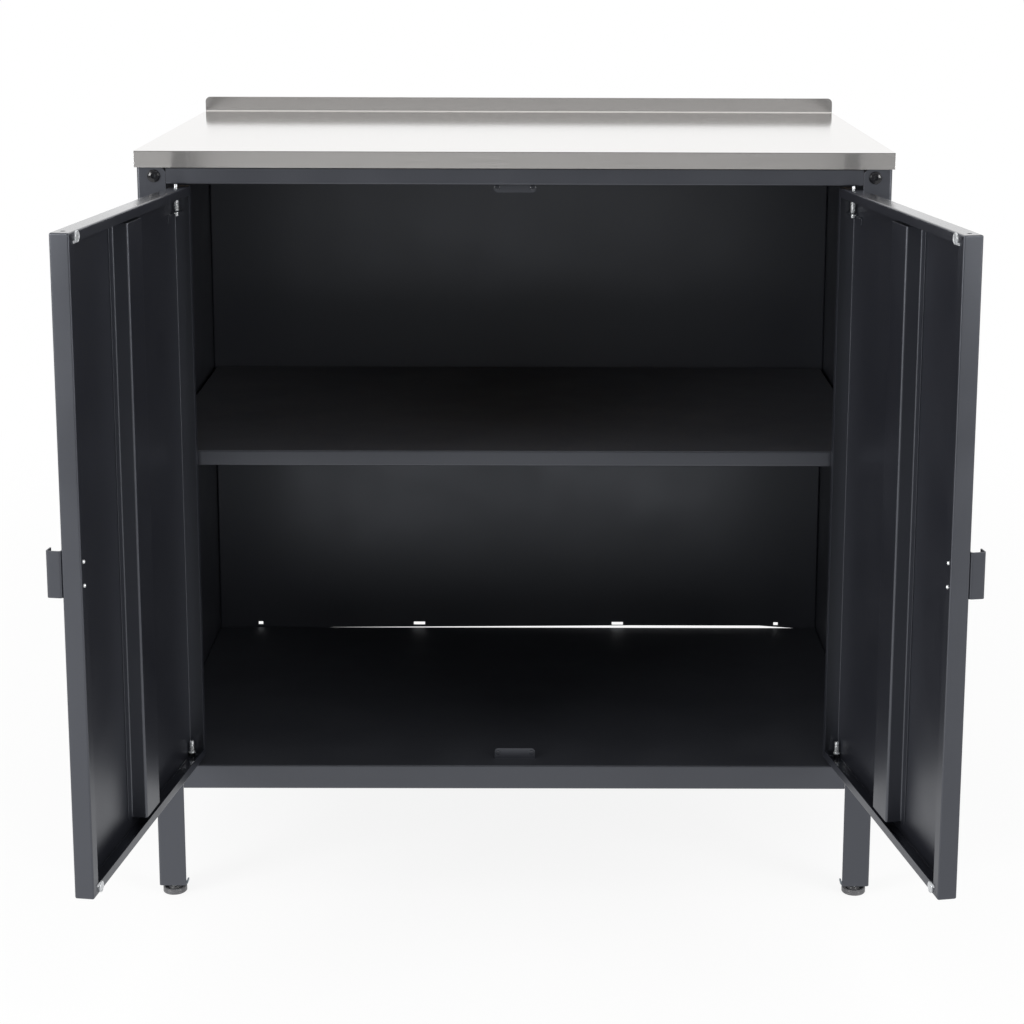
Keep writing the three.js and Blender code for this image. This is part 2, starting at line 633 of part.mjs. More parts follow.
function tabBumper(height) {
  return turned([
    [0, -bumper.thick], [bumper.radius - bumper.chamfer, -bumper.thick],
    [bumper.radius, -bumper.thick + bumper.chamfer], [bumper.radius, 0], [0, 0],
  ]).rotate([-90, 0, 0]).translate([-bumper.inset, stopTab.plane, height]);
}

// Placing

add('worktop_skin', worktopSkin(), 'stainless');
add('worktop_core', worktopCore(), 'board');
addPair('post_front', post(true), 'coat');
addPair('post_rear', toRear(post(false)), 'coat');
add('top_rail_front', frontRail(), 'coat');
add('top_rail_rear', toRear(railChannel(frontY + rail.rearFlange)), 'coat');
addPair('side_panel', sidePanel(), 'coat');
add('back_panel', backPanel(), 'coat');
add('floor_panel', floorPanel(), 'coat');
add('shelf', shelfTray(), 'coat');
addPair('shelf_clip_front', shelfClip(shelf.front + clip.frontInset), 'zinc');
addPair('shelf_clip_rear', shelfClip(shelfRear - clip.rearInset), 'zinc');
addPair('foot_bracket_front', footBracket(), 'zinc');
addPair('foot_bracket_rear', toRear(footBracket()), 'zinc');
addPair('foot_pad_front', footPad(), 'plastic');
addPair('foot_pad_rear', toRear(footPad()), 'plastic');
addPair('foot_stem_front', footStem(), 'zinc');
addPair('foot_stem_rear', toRear(footStem()), 'zinc');
addPair('post_bolt', postBolt(), 'dark');
addPair('bumper_top', tabBumper(railFoot - bumper.rise), 'clear');
addPair('bumper_bottom', tabBumper(floor.top + bumper.rise + stopTab.relief), 'clear');

const doorPieces = [
  ['door_pan', doorPan(), 'coat'],
  ['handle', handlePull(), 'coat'],
  ['handle_screw_top', handleScrew(0), 'zinc'],
  ['handle_screw_bottom', handleScrew(handle.screwSpacing), 'zinc'],
  ['top_pin', sprungPin(), 'zinc'],
  ['pin_bracket', topBracket(), 'zinc'],
  ['bottom_pin', fixedPin(), 'zinc'],
  ['pin_bush', pinBush(), 'dark'],
  ['magnet_top', cornerMagnet(doorHead - magnet.radius, -1), 'zinc'],
  ['magnet_bottom', cornerMagnet(doorFoot + magnet.radius, 1), 'zinc'],
];
const hung = (shape, angle, side) => shape.rotate([0, 0, side * angle])
  .translate([side * pivotX, door.pivotY, 0]);
doorPieces.forEach(([name, shape, material]) => {
  add(`${name}_left`, hung(shape, opening.left, -1), material);
  add(`${name}_right`, hung(mirrorX(shape), opening.right, 1), material);
});
add('stiffener_left', hung(hatStiffener(hatShift.left), opening.left, -1), 'coat');
add('stiffener_right', hung(mirrorX(hatStiffener(hatShift.right)), opening.right, 1), 'coat');
add('pin_spring_left', hung(pinSpring(), opening.left, -1), 'zinc');
add('pin_spring_right', hung(pinSpring(), opening.right, 1), 'zinc');
console.log('least gap between spring turns', springGap().toFixed(2), 'mm');

// The frame: centre of the bounds across, floor at zero

const bounds = new THREE.Box3();
parts.forEach(({ shape }) => {
  const { min, max } = shape.boundingBox();
  bounds.expandByPoint(new THREE.Vector3(...min)).expandByPoint(new THREE.Vector3(...max));
});
const centre = bounds.getCenter(new THREE.Vector3());

const group = new THREE.Group();
group.name = 'kitchen_cabinet';
parts.forEach(({ name, shape, material }) => {
  const { vertProperties, triVerts } = shape.translate([-centre.x, -centre.y, -bounds.min.z]).getMesh();
  const geometry = new THREE.BufferGeometry();
  geometry.setAttribute('position', new THREE.BufferAttribute(vertProperties, 3));
  geometry.setIndex(new THREE.BufferAttribute(triVerts, 1));
  geometry.computeVertexNormals();
  const mesh = new THREE.Mesh(geometry, new THREE.MeshStandardMaterial(finish[material]));
  mesh.name = name;
  group.add(mesh);
});

export default group;
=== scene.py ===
import json
import math
import bpy
import bmesh
from mathutils import Matrix, Vector


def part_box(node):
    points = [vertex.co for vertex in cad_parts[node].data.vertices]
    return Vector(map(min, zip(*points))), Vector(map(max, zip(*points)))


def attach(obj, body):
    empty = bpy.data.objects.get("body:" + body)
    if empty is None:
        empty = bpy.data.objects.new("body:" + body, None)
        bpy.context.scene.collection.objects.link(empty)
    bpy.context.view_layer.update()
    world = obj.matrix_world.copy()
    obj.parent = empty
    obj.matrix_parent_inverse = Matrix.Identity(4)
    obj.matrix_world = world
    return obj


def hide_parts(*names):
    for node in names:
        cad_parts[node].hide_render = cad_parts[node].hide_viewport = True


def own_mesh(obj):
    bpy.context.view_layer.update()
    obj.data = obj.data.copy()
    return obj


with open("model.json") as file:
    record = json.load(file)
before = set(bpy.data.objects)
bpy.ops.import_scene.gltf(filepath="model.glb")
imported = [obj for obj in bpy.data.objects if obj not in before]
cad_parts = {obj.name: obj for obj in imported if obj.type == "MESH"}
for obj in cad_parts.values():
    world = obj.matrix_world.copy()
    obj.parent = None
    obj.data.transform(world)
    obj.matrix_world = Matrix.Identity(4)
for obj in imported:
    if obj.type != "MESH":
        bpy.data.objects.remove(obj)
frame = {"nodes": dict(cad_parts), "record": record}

scene = bpy.context.scene
nodes = frame["nodes"]
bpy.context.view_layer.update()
print("frame loaded:", len(nodes), "nodes")

mm = 0.001
topLow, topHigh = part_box("worktop_skin")
middle = Vector(((topLow.x + topHigh.x) / 2, topLow.y, 0))  # the cabinet's centre, at the worktop's front edge
doorTurn = {"left": 98.1, "right": 99.9}  # degrees open at rest
sides = ("left", "right")
levels = ("top", "bottom")


def hexLinear(code):
    values = [int(code[i:i + 2], 16) / 255 for i in (1, 3, 5)]
    return [v / 12.92 if v <= 0.04045 else ((v + 0.055) / 1.055) ** 2.4 for v in values] + [1.0]


def addNode(tree, kind, inputs=None, **settings):
    node = tree.nodes.new(kind)
    for key, value in settings.items():
        setattr(node, key, value)
    for key, value in (inputs or {}).items():
        if isinstance(value, bpy.types.NodeSocket):
            tree.links.new(value, node.inputs[key])
        else:
            node.inputs[key].default_value = value
    return node


def newMaterial(name):
    material = bpy.data.materials.new(name)
    material.use_nodes = True
    material.node_tree.nodes.clear()
    return material, material.node_tree


# camera, matched to the photograph: place in mm from the cabinet's middle, angles in degrees, lens in pixels

view = {
    "place": (23.8, -2237.2, 1068.9), "yaw": 0.26, "pitch": -10.656, "roll": 0.198,
    "focal": 2136.2, "centre": (546.6, 330.0), "pixels": 1024, "sensor": 36.0, "clip": (0.05, 60),
}


def makeCamera():
    yaw, pitch, roll = (math.radians(view[k]) for k in ("yaw", "pitch", "roll"))
    ahead = Vector((math.sin(yaw) * math.cos(pitch), math.cos(yaw) * math.cos(pitch), math.sin(pitch)))
    level = Vector((math.cos(yaw), -math.sin(yaw), 0))
    over = level.cross(ahead)
    right = level * math.cos(roll) + over * math.sin(roll)
    up = over * math.cos(roll) - level * math.sin(roll)
    data = bpy.data.cameras.new("photoCamera")
    camera = bpy.data.objects.new("photoCamera", data)
    scene.collection.objects.link(camera)
    turn = Matrix((right, up, -ahead)).transposed().to_4x4()
    camera.matrix_world = Matrix.Translation(Vector(view["place"]) * mm + middle) @ turn
    data.sensor_width = view["sensor"]
    data.lens = view["focal"] * view["sensor"] / view["pixels"]
    data.shift_x = 0.5 - view["centre"][0] / view["pixels"]
    data.shift_y = view["centre"][1] / view["pixels"] - 0.5
    data.clip_start, data.clip_end = view["clip"]
    scene.camera = camera


makeCamera()

# stage and light, in metres; what the metal mirrors is set apart from what the camera sees

studio = {
    "air": 1.0, "room": 0.17, "roomEdge": (-0.15, 0.35),
    "panel": {"half": 0.32, "up": 0.085, "tall": 0.045, "level": 0.7},  # pale, behind the camera, for the steel
    "floorColor": "#d9d9d8", "floorReach": 14, "shadowShare": 0.88, "clear": (0.9, 2.4),
    "near": (2.0, 3.5), "behind": (0.2, 1.2), "across": (-0.6, 1.0), "leftFloor": 0.95, "rightFloor": 0.68,
    "top": {"size": (2.6, 1.8), "place": (0.0, -0.4, 2.9), "aim": (0.0, 0.1, 0.6), "watts": 12},
    "left": {"size": (1.4, 1.8), "place": (-2.7, -2.3, 1.5), "aim": (0.0, 0.0, 0.5), "watts": 103},
    "right": {"size": (1.4, 1.8), "place": (2.7, -2.3, 1.5), "aim": (0.0, 0.0, 0.5), "watts": 76},
}


def makeWorld():
    # white behind the cabinet, a greyer room in front of it for the metal to mirror
    p = studio["panel"]
    world = bpy.data.worlds.new("studioAir")
    scene.world = world
    world.use_nodes = True
    tree = world.node_tree
    tree.nodes.clear()
    path = addNode(tree, "ShaderNodeLightPath")
    place = addNode(tree, "ShaderNodeTexCoord")
    split = addNode(tree, "ShaderNodeSeparateXYZ", {0: place.outputs["Generated"]})
    behind = addNode(tree, "ShaderNodeMapRange", {
        "Value": split.outputs["Y"], "From Min": studio["roomEdge"][0], "From Max": studio["roomEdge"][1],
        "To Min": studio["room"], "To Max": 1.0}, interpolation_type="SMOOTHSTEP")
    shine = addNode(tree, "ShaderNodeMath", {
        0: path.outputs["Is Glossy Ray"], 1: path.outputs["Is Transmission Ray"]}, operation="MAXIMUM")
    across = addNode(tree, "ShaderNodeMath", {0: split.outputs["X"], 1: 0.0, 2: p["half"]}, operation="COMPARE")
    height = addNode(tree, "ShaderNodeMath", {0: split.outputs["Z"], 1: p["up"], 2: p["tall"]}, operation="COMPARE")
    inFront = addNode(tree, "ShaderNodeMath", {0: split.outputs["Y"], 1: 0.0}, operation="LESS_THAN")
    band = addNode(tree, "ShaderNodeMath", {0: across.outputs[0], 1: height.outputs[0]}, operation="MULTIPLY")
    panel = addNode(tree, "ShaderNodeMath", {0: band.outputs[0], 1: inFront.outputs[0]}, operation="MULTIPLY")
    lit = addNode(tree, "ShaderNodeMix", {
        "Factor": panel.outputs[0], 2: behind.outputs[0], 3: p["level"]}, data_type="FLOAT")
    mirrored = addNode(tree, "ShaderNodeMix", {
        "Factor": shine.outputs[0], 2: studio["air"], 3: lit.outputs[0]}, data_type="FLOAT")
    strength = addNode(tree, "ShaderNodeMix", {
        "Factor": path.outputs["Is Camera Ray"], 2: mirrored.outputs[0], 3: 1.0}, data_type="FLOAT")
    air = addNode(tree, "ShaderNodeBackground", {"Color": (1, 1, 1, 1), "Strength": strength.outputs[0]})
    addNode(tree, "ShaderNodeOutputWorld", {"Surface": air.outputs[0]})


def makeFloor():
    # a paper sweep: white to the camera with a soft shadow, bright in reflections close by
    bm = bmesh.new()
    bmesh.ops.create_grid(bm, x_segments=1, y_segments=1, size=studio["floorReach"])
    mesh = bpy.data.meshes.new("studioFloor")
    bm.to_mesh(mesh)
    bm.free()
    ground = bpy.data.objects.new("studioFloor", mesh)
    scene.collection.objects.link(ground)
    material, tree = newMaterial("paleStudioFloor")
    path = addNode(tree, "ShaderNodeLightPath")
    place = addNode(tree, "ShaderNodeTexCoord")
    split = addNode(tree, "ShaderNodeSeparateXYZ", {0: place.outputs["Object"]})
    far = addNode(tree, "ShaderNodeVectorMath", {0: place.outputs["Object"]}, operation="LENGTH").outputs["Value"]
    fade = {}
    for word, value, low, high in (("near", far, 1.0, 0.0),
                                   ("behind", split.outputs["Y"], 0.0, 1.0),
                                   ("across", split.outputs["X"], studio["leftFloor"], studio["rightFloor"]),
                                   ("clear", far, studio["shadowShare"], 1.0)):
        fade[word] = addNode(tree, "ShaderNodeMapRange", {
            "Value": value, "From Min": studio[word][0], "From Max": studio[word][1],
            "To Min": low, "To Max": high}, interpolation_type="SMOOTHSTEP").outputs[0]
    bright = addNode(tree, "ShaderNodeMath", {0: fade["near"], 1: fade["behind"]}, operation="MAXIMUM")
    shine = addNode(tree, "ShaderNodeMapRange", {
        "Value": bright.outputs[0], "To Min": studio["room"], "To Max": fade["across"]})
    strength = addNode(tree, "ShaderNodeMix", {
        "Factor": path.outputs["Is Glossy Ray"], 2: 1.0, 3: shine.outputs[0]}, data_type="FLOAT")
    seen = addNode(tree, "ShaderNodeMath", {
        0: path.outputs["Is Camera Ray"], 1: fade["clear"]}, operation="MULTIPLY")
    amount = addNode(tree, "ShaderNodeMath", {
        0: seen.outputs[0], 1: path.outputs["Is Glossy Ray"]}, operation="MAXIMUM")
    paint = addNode(tree, "ShaderNodeBsdfDiffuse", {"Color": hexLinear(studio["floorColor"])})
    glow = addNode(tree, "ShaderNodeEmission", {"Color": (1, 1, 1, 1), "Strength": strength.outputs[0]})
    blend = addNode(tree, "ShaderNodeMixShader", {0: amount.outputs[0], 1: paint.outputs[0], 2: glow.outputs[0]})
    addNode(tree, "ShaderNodeOutputMaterial", {"Surface": blend.outputs[0]})
    mesh.materials.append(material)


def makeLamp(name):
    lamp = studio[name]
    data = bpy.data.lights.new(name + "Softbox", "AREA")
    data.shape = "RECTANGLE"
    data.size, data.size_y = lamp["size"]
    data.energy = lamp["watts"]
    light = bpy.data.objects.new(name + "Softbox", data)
    scene.collection.objects.link(light)
    light.location = lamp["place"]
    light.rotation_euler = (Vector(lamp["aim"]) - Vector(lamp["place"])).to_track_quat("-Z", "Y").to_euler()


makeWorld()
makeFloor()
for lampName in ("top", "left", "right"):
    makeLamp(lampName)
scene.view_settings.view_transform = "Standard"
print("stage and light made")

# finishes: grain, cloud, line and length are pattern sizes in mm, pebble and depth the heights of their bumps

noiseLow, noiseHigh = 0.3, 0.7  # the part of its scale that a noise texture mostly fills
coat = {
    "dark": "#15161b", "light": "#1c1d23", "tint": (0.87, 0.91, 1.0, 1.0), "specular": 0.95, "ior": 1.6,
    "grain": 1.6, "cloud": 90.0, "rough": (0.34, 0.42), "bump": 0.10, "pebble": 0.15,
    "upward": (0.6, 0.9), "filmRough": 0.22,
}
steel = {
    "dark": "#e6e3e0", "light": "#efedeb", "line": 1.2, "length": 72.0, "rough": (0.21, 0.27), "bump": 0.05,
    "depth": 0.1, "flat": 838, "flatBand": 0.7, "flatShare": 0.24, "crest": 839, "crestShare": 0.64,
}


def powderCoat(name, topGloss=1.0, topFilm=0.0):
    # polyester powder coat on steel: near black with a satin, finely pebbled face, the pebbles
    # drawn coarser than real so that they show; faces that look up may be drier or shine more
    material, tree = newMaterial(name)
    place = addNode(tree, "ShaderNodeTexCoord")
    grain = addNode(tree, "ShaderNodeTexNoise", {
        "Vector": place.outputs["Object"], "Scale": 1 / (coat["grain"] * mm), "Detail": 2.0, "Roughness": 0.6})
    cloud = addNode(tree, "ShaderNodeTexNoise", {
        "Vector": place.outputs["Object"], "Scale": 1 / (coat["cloud"] * mm), "Detail": 3.0})
    color = addNode(tree, "ShaderNodeMix", {
        "Factor": grain.outputs["Fac"], 6: hexLinear(coat["dark"]), 7: hexLinear(coat["light"])}, data_type="RGBA")
    satin = addNode(tree, "ShaderNodeMapRange", {
        "Value": cloud.outputs["Fac"], "From Min": noiseLow, "From Max": noiseHigh,
        "To Min": coat["rough"][0], "To Max": coat["rough"][1]})
    bump = addNode(tree, "ShaderNodeBump", {
        "Height": grain.outputs["Fac"], "Strength": coat["bump"], "Distance": coat["pebble"] * mm})
    skin = addNode(tree, "ShaderNodeBsdfPrincipled", {
        "Base Color": color.outputs[2], "Roughness": satin.outputs[0], "IOR": coat["ior"],
        "Specular IOR Level": coat["specular"], "Specular Tint": coat["tint"], "Normal": bump.outputs[0]})
    addNode(tree, "ShaderNodeOutputMaterial", {"Surface": skin.outputs[0]})
    changes = {"Roughness": (1.0, topGloss), "Coat Weight": (0.0, topFilm)}
    changes = {socket: pair for socket, pair in changes.items() if pair[0] != pair[1]}
    if changes:
        facing = addNode(tree, "ShaderNodeNewGeometry")
        split = addNode(tree, "ShaderNodeSeparateXYZ", {0: facing.outputs["Normal"]})
    for socket, (low, high) in changes.items():
        ramp = addNode(tree, "ShaderNodeMapRange", {
            "Value": split.outputs["Z"], "From Min": coat["upward"][0], "From Max": coat["upward"][1],
            "To Min": low, "To Max": high})
        if socket == "Roughness":
            ramp = addNode(tree, "ShaderNodeMath", {0: satin.outputs[0], 1: ramp.outputs[0]}, operation="MULTIPLY")
        else:
            skin.inputs["Coat Roughness"].default_value = coat["filmRough"]
        tree.links.new(ramp.outputs[0], skin.inputs[socket])
    return material


def brushedSteel(name):
    # rolled stainless sheet, belt brushed along its length: fine streaks, drawn coarser than real,
    # that stretch what they mirror; the flat top and the crest are more polished than the folds
    material, tree = newMaterial(name)
    place = addNode(tree, "ShaderNodeTexCoord")
    mapping = addNode(tree, "ShaderNodeMapping", {
        "Vector": place.outputs["Object"], "Scale": [1 / (steel[k] * mm) for k in ("length", "line", "line")]})
    streak = addNode(tree, "ShaderNodeTexNoise", {
        "Vector": mapping.outputs[0], "Scale": 1.0, "Detail": 4.0, "Roughness": 0.65})
    color = addNode(tree, "ShaderNodeMix", {
        "Factor": streak.outputs["Fac"], 6: hexLinear(steel["dark"]), 7: hexLinear(steel["light"])},
        data_type="RGBA")
    satin = addNode(tree, "ShaderNodeMapRange", {
        "Value": streak.outputs["Fac"], "From Min": noiseLow, "From Max": noiseHigh,
        "To Min": steel["rough"][0], "To Max": steel["rough"][1]})
    split = addNode(tree, "ShaderNodeSeparateXYZ", {0: place.outputs["Object"]})
    onFlat = addNode(tree, "ShaderNodeMath", {
        0: split.outputs["Z"], 1: steel["flat"] * mm, 2: steel["flatBand"] * mm}, operation="COMPARE")
    onCrest = addNode(tree, "ShaderNodeMath", {
        0: split.outputs["Z"], 1: steel["crest"] * mm}, operation="GREATER_THAN")
    crest = addNode(tree, "ShaderNodeMath", {0: onCrest.outputs[0], 1: 1 - steel["crestShare"]}, operation="MULTIPLY")
    polish = addNode(tree, "ShaderNodeMath", {
        0: onFlat.outputs[0], 1: 1 - steel["flatShare"], 2: crest.outputs[0]}, operation="MULTIPLY_ADD")
    share = addNode(tree, "ShaderNodeMath", {0: 1.0, 1: polish.outputs[0]}, operation="SUBTRACT")
    roughness = addNode(tree, "ShaderNodeMath", {0: satin.outputs[0], 1: share.outputs[0]}, operation="MULTIPLY")
    bump = addNode(tree, "ShaderNodeBump", {
        "Height": streak.outputs["Fac"], "Strength": steel["bump"], "Distance": steel["depth"] * mm})
    around = addNode(tree, "ShaderNodeTangent", direction_type="RADIAL", axis="X")  # across the brushing
    skin = addNode(tree, "ShaderNodeBsdfPrincipled", {
        "Base Color": color.outputs[2], "Metallic": 1.0, "Roughness": roughness.outputs[0], "Anisotropic": 1.0,
        "Tangent": around.outputs[0], "Normal": bump.outputs[0]})
    addNode(tree, "ShaderNodeOutputMaterial", {"Surface": skin.outputs[0]})
    return material


def mottled(name, tones, grain, rough, metallic=0.0, bump=0.1):
    # a cast or plated surface: small soft blotches in tone and gloss, grain mm across
    material, tree = newMaterial(name)
    place = addNode(tree, "ShaderNodeTexCoord")
    blotch = addNode(tree, "ShaderNodeTexNoise", {
        "Vector": place.outputs["Object"], "Scale": 1 / (grain * mm), "Detail": 3.0, "Roughness": 0.55})
    color = addNode(tree, "ShaderNodeMix", {
        "Factor": blotch.outputs["Fac"], 6: hexLinear(tones[0]), 7: hexLinear(tones[1])}, data_type="RGBA")
    roughness = addNode(tree, "ShaderNodeMapRange", {
        "Value": blotch.outputs["Fac"], "From Min": noiseLow, "From Max": noiseHigh,
        "To Min": rough[0], "To Max": rough[1]})
    dent = addNode(tree, "ShaderNodeBump", {
        "Height": blotch.outputs["Fac"], "Strength": bump, "Distance": 0.1 * mm})
    skin = addNode(tree, "ShaderNodeBsdfPrincipled", {
        "Base Color": color.outputs[2], "Metallic": metallic, "Roughness": roughness.outputs[0],
        "Normal": dent.outputs[0]})
    addNode(tree, "ShaderNodeOutputMaterial", {"Surface": skin.outputs[0]})
    return material


finish = {
    "coat": powderCoat("anthracitePowderCoat"),
    "stainless": brushedSteel("brushedStainless"),
    # cool, bright and slightly cloudy
    "zinc": mottled("brightZincPlate", ("#d2d5d7", "#eceeef"), 3.0, (0.2, 0.32), metallic=0.75),
    # oiled black fasteners
    "dark_steel": mottled("blackOxideSteel", ("#0e0e10", "#19191c"), 1.5, (0.1, 0.18)),
    # coarse pale chips
    "board": mottled("rawChipboard", ("#9c8263", "#c9b08a"), 2.5, (0.7, 0.9), bump=0.5),
    # dark grey foot with a soft shine
    "pad": mottled("mouldedRubber", ("#3a3a3c", "#606062"), 1.0, (0.3, 0.42), bump=0.4),
    # a clear stud shows the dark coat behind it, with a wet highlight
    "clear": mottled("clearBumper", ("#25262a", "#33353a"), 1.0, (0.05, 0.1)),
}
# the bright zinc again with painted shade: darker and greyer, for the brackets in the shade under the posts
shadedZinc = mottled("shadedZincPlate", ("#6c747b", "#949ca3"), 2.0, (0.3, 0.45), metallic=0.9)
# shelf and floor: a drier coat, with no streaks below the slots
trayCoat = powderCoat("anthraciteTrayCoat", topGloss=1.6)
# soft bright catch plates
magnetPlate = mottled("satinNickelPlate", ("#8d9093", "#e4e6e8"), 1.6, (0.25, 0.4), metallic=0.5)
# the doors' top folds, seen at a low angle, mirror the pale room
doorCoat = powderCoat("anthraciteDoorCoat", topGloss=0.6, topFilm=1.0)
slotOf = {part["node"]: part["material_slot"] for part in frame["record"]["subparts"]}
for nodeName, obj in nodes.items():
    obj.data.materials.clear()
    # the foot brackets get the zinc darkened with painted shade
    obj.data.materials.append(shadedZinc if nodeName.startswith("foot_bracket") else finish[slotOf[nodeName]])
print("finishes made")

# piece helpers: shapes are drawn in millimetres, X from the cabinet's middle, Y back from the worktop's edge, Z up

toFrame = Matrix.Translation(middle) @ Matrix.Scale(mm, 4)
towardsBack = Matrix.Rotation(-math.pi / 2, 4, "X")  # turns +Z to +Y
axisOf = {"x": Vector((1, 0, 0)), "y": Vector((0, 1, 0)), "z": Vector((0, 0, 1))}
bendSteps = 4
slack, fine = 0.1, 0.01  # mm by which an edge may miss the place it is picked by
along = 0.5  # mm that an edge covers in a direction to count as running that way
halfway = 480  # a height in the middle of the upright sheets
hexagon, holeSteps, finePinSteps = 6, 16, 2  # sides of nuts and hex keys, of small holes, steps of a pin's edges
edge = {"merge": 0.002, "turnMerge": 0.0005, "bevelSteps": 2, "bevelAngle": 40, "sharpAngle": 35}


def doorPlace(side):
    # the door's own frame: pivot at zero, skin towards -Y, free edge towards +X
    sign = -1 if side == "left" else 1
    turn = Matrix.Rotation(math.radians(sign * doorTurn[side]), 4, "Z")
    place = Matrix.Translation((sign * door["pivotX"], door["pivotY"], 0)) @ turn
    return place if side == "left" else place @ Matrix.Diagonal((-1, 1, 1, 1))


def handed(side, end="front"):
    # from the front left corner of the cabinet to any of the four
    flip = Matrix.Diagonal((-1 if side == "right" else 1, 1, 1, 1))
    if end == "rear":
        return Matrix.Translation((0, worktop["depth"], 0)) @ Matrix.Diagonal((1, -1, 1, 1)) @ flip
    return flip


def applied(obj):
    graph = bpy.context.evaluated_depsgraph_get()
    mesh = bpy.data.meshes.new_from_object(obj.evaluated_get(graph))
    obj.modifiers.clear()
    obj.data = mesh
    return obj


def meshObject(bm):
    mesh = bpy.data.meshes.new("shape")
    bm.to_mesh(mesh)
    bm.free()
    obj = bpy.data.objects.new("shape", mesh)
    scene.collection.objects.link(obj)
    return obj


def modify(obj, kind, **settings):
    modifier = obj.modifiers.new(kind.lower(), kind)
    for key, value in settings.items():
        setattr(modifier, key, value)


def cut(obj, cutter):
    tool = meshObject(cutter)
    modify(obj, "BOOLEAN", operation="DIFFERENCE", solver="EXACT", object=tool)
    applied(obj)
    bpy.data.objects.remove(tool)


def finishPiece(obj, name, body, replaced, slotName, matrix=None, bevel=0.2, material=None):
    obj.name = obj.data.name = name
    place = toFrame @ (matrix or Matrix.Identity(4))
    bm = bmesh.new()
    bm.from_mesh(obj.data)
    bmesh.ops.remove_doubles(bm, verts=bm.verts, dist=edge["merge"])
    bm.transform(place)
    bmesh.ops.recalc_face_normals(bm, faces=bm.faces)
    bm.to_mesh(obj.data)
    bm.free()
    if bevel:
        modify(obj, "BEVEL", width=bevel * mm, segments=edge["bevelSteps"], limit_method="ANGLE",
               angle_limit=math.radians(edge["bevelAngle"]), use_clamp_overlap=True, harden_normals=False)
    obj.data.shade_smooth()
    obj.data.set_sharp_from_angle(angle=math.radians(edge["sharpAngle"]))
    modify(obj, "WEIGHTED_NORMAL", keep_sharp=True)
    obj.data.materials.clear()
    obj.data.materials.append(material or finish[slotName])
    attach(obj, body)
    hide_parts(*replaced)
    return obj


def chain(points, close=False):
    bm = bmesh.new()
    verts = [bm.verts.new(p) for p in points]
    for pair in zip(verts, verts[1:] + verts[:1] if close else verts[1:]):
        bm.edges.new(pair)
    return bm, verts


def newVerts(grown):
    return [g for g in grown if isinstance(g, bmesh.types.BMVert)]


def folded(path, span, axis, thick, outward):
    # a bent sheet: path holds (a, b, radius) in the plane square to the axis, on the outer face
    spot = {"x": lambda a, b, t: (t, a, b), "y": lambda a, b, t: (a, t, b), "z": lambda a, b, t: (a, b, t)}[axis]
    bm, verts = chain([spot(a, b, span[0]) for a, b, _ in path])
    for vert, (_, _, radius) in zip(verts, path):
        if radius:
            bmesh.ops.bevel(bm, geom=[vert], offset=radius, offset_type="OFFSET", segments=bendSteps,
                            profile=0.5, affect="VERTICES", material=-1)
    grown = bmesh.ops.extrude_edge_only(bm, edges=bm.edges[:])["geom"]
    bmesh.ops.translate(bm, verts=newVerts(grown), vec=axisOf[axis] * (span[1] - span[0]))
    return thickened(bm, thick, outward)


def thickened(bm, thick, outward):
    # outward is (a point near the sheet's outer side, the way that side faces)
    bmesh.ops.recalc_face_normals(bm, faces=bm.faces)
    near, way = Vector(outward[0]), Vector(outward[1])
    face = min(bm.faces, key=lambda f: (f.calc_center_median() - near).length)
    if face.normal.dot(way) < 0:
        bmesh.ops.reverse_faces(bm, faces=bm.faces)
    obj = meshObject(bm)
    modify(obj, "SOLIDIFY", thickness=thick, offset=-1, use_even_offset=True, use_quality_normals=True)
    return applied(obj)


def joinedShapes(*objs):
    bm = bmesh.new()
    for obj in objs:
        bm.from_mesh(obj.data)
        bpy.data.objects.remove(obj)
    return meshObject(bm)


def boxShape(x, y, z):
    bm = bmesh.new()
    bmesh.ops.create_cube(bm, size=1)
    bmesh.ops.scale(bm, verts=bm.verts, vec=(x[1] - x[0], y[1] - y[0], z[1] - z[0]))
    bmesh.ops.translate(bm, verts=bm.verts, vec=((x[0] + x[1]) / 2, (y[0] + y[1]) / 2, (z[0] + z[1]) / 2))
    return bm


def bevelWhere(bm, test, radius, segments=bendSteps):
    # test gets an edge's middle and its run
    edges = [e for e in bm.edges if test((e.verts[0].co + e.verts[1].co) / 2, e.verts[1].co - e.verts[0].co)]
    if edges:
        bmesh.ops.bevel(bm, geom=edges, offset=radius, offset_type="OFFSET", segments=segments,
                        profile=0.5, affect="EDGES", material=-1, clamp_overlap=True)


def rod(axis, place, radius, span, steps=24):
    # a plain round bar along an axis, at place in the plane square to it
    bm = bmesh.new()
    bmesh.ops.create_cone(bm, cap_ends=True, segments=steps, radius1=radius, radius2=radius, depth=span[1] - span[0])
    centre = (span[0] + span[1]) / 2
    turn = {"x": Matrix.Rotation(math.pi / 2, 4, "Y"), "y": towardsBack, "z": Matrix.Identity(4)}[axis]
    spot = {"x": (centre, *place), "y": (place[0], centre, place[1]), "z": (*place, centre)}[axis]
    bm.transform(Matrix.Translation(spot) @ turn)
    return bm


def gathered(*parts):
    bm = bmesh.new()
    for part in parts:
        mesh = bpy.data.meshes.new("part")
        part.to_mesh(mesh)
        part.free()
        bm.from_mesh(mesh)
        bpy.data.meshes.remove(mesh)
    return bm


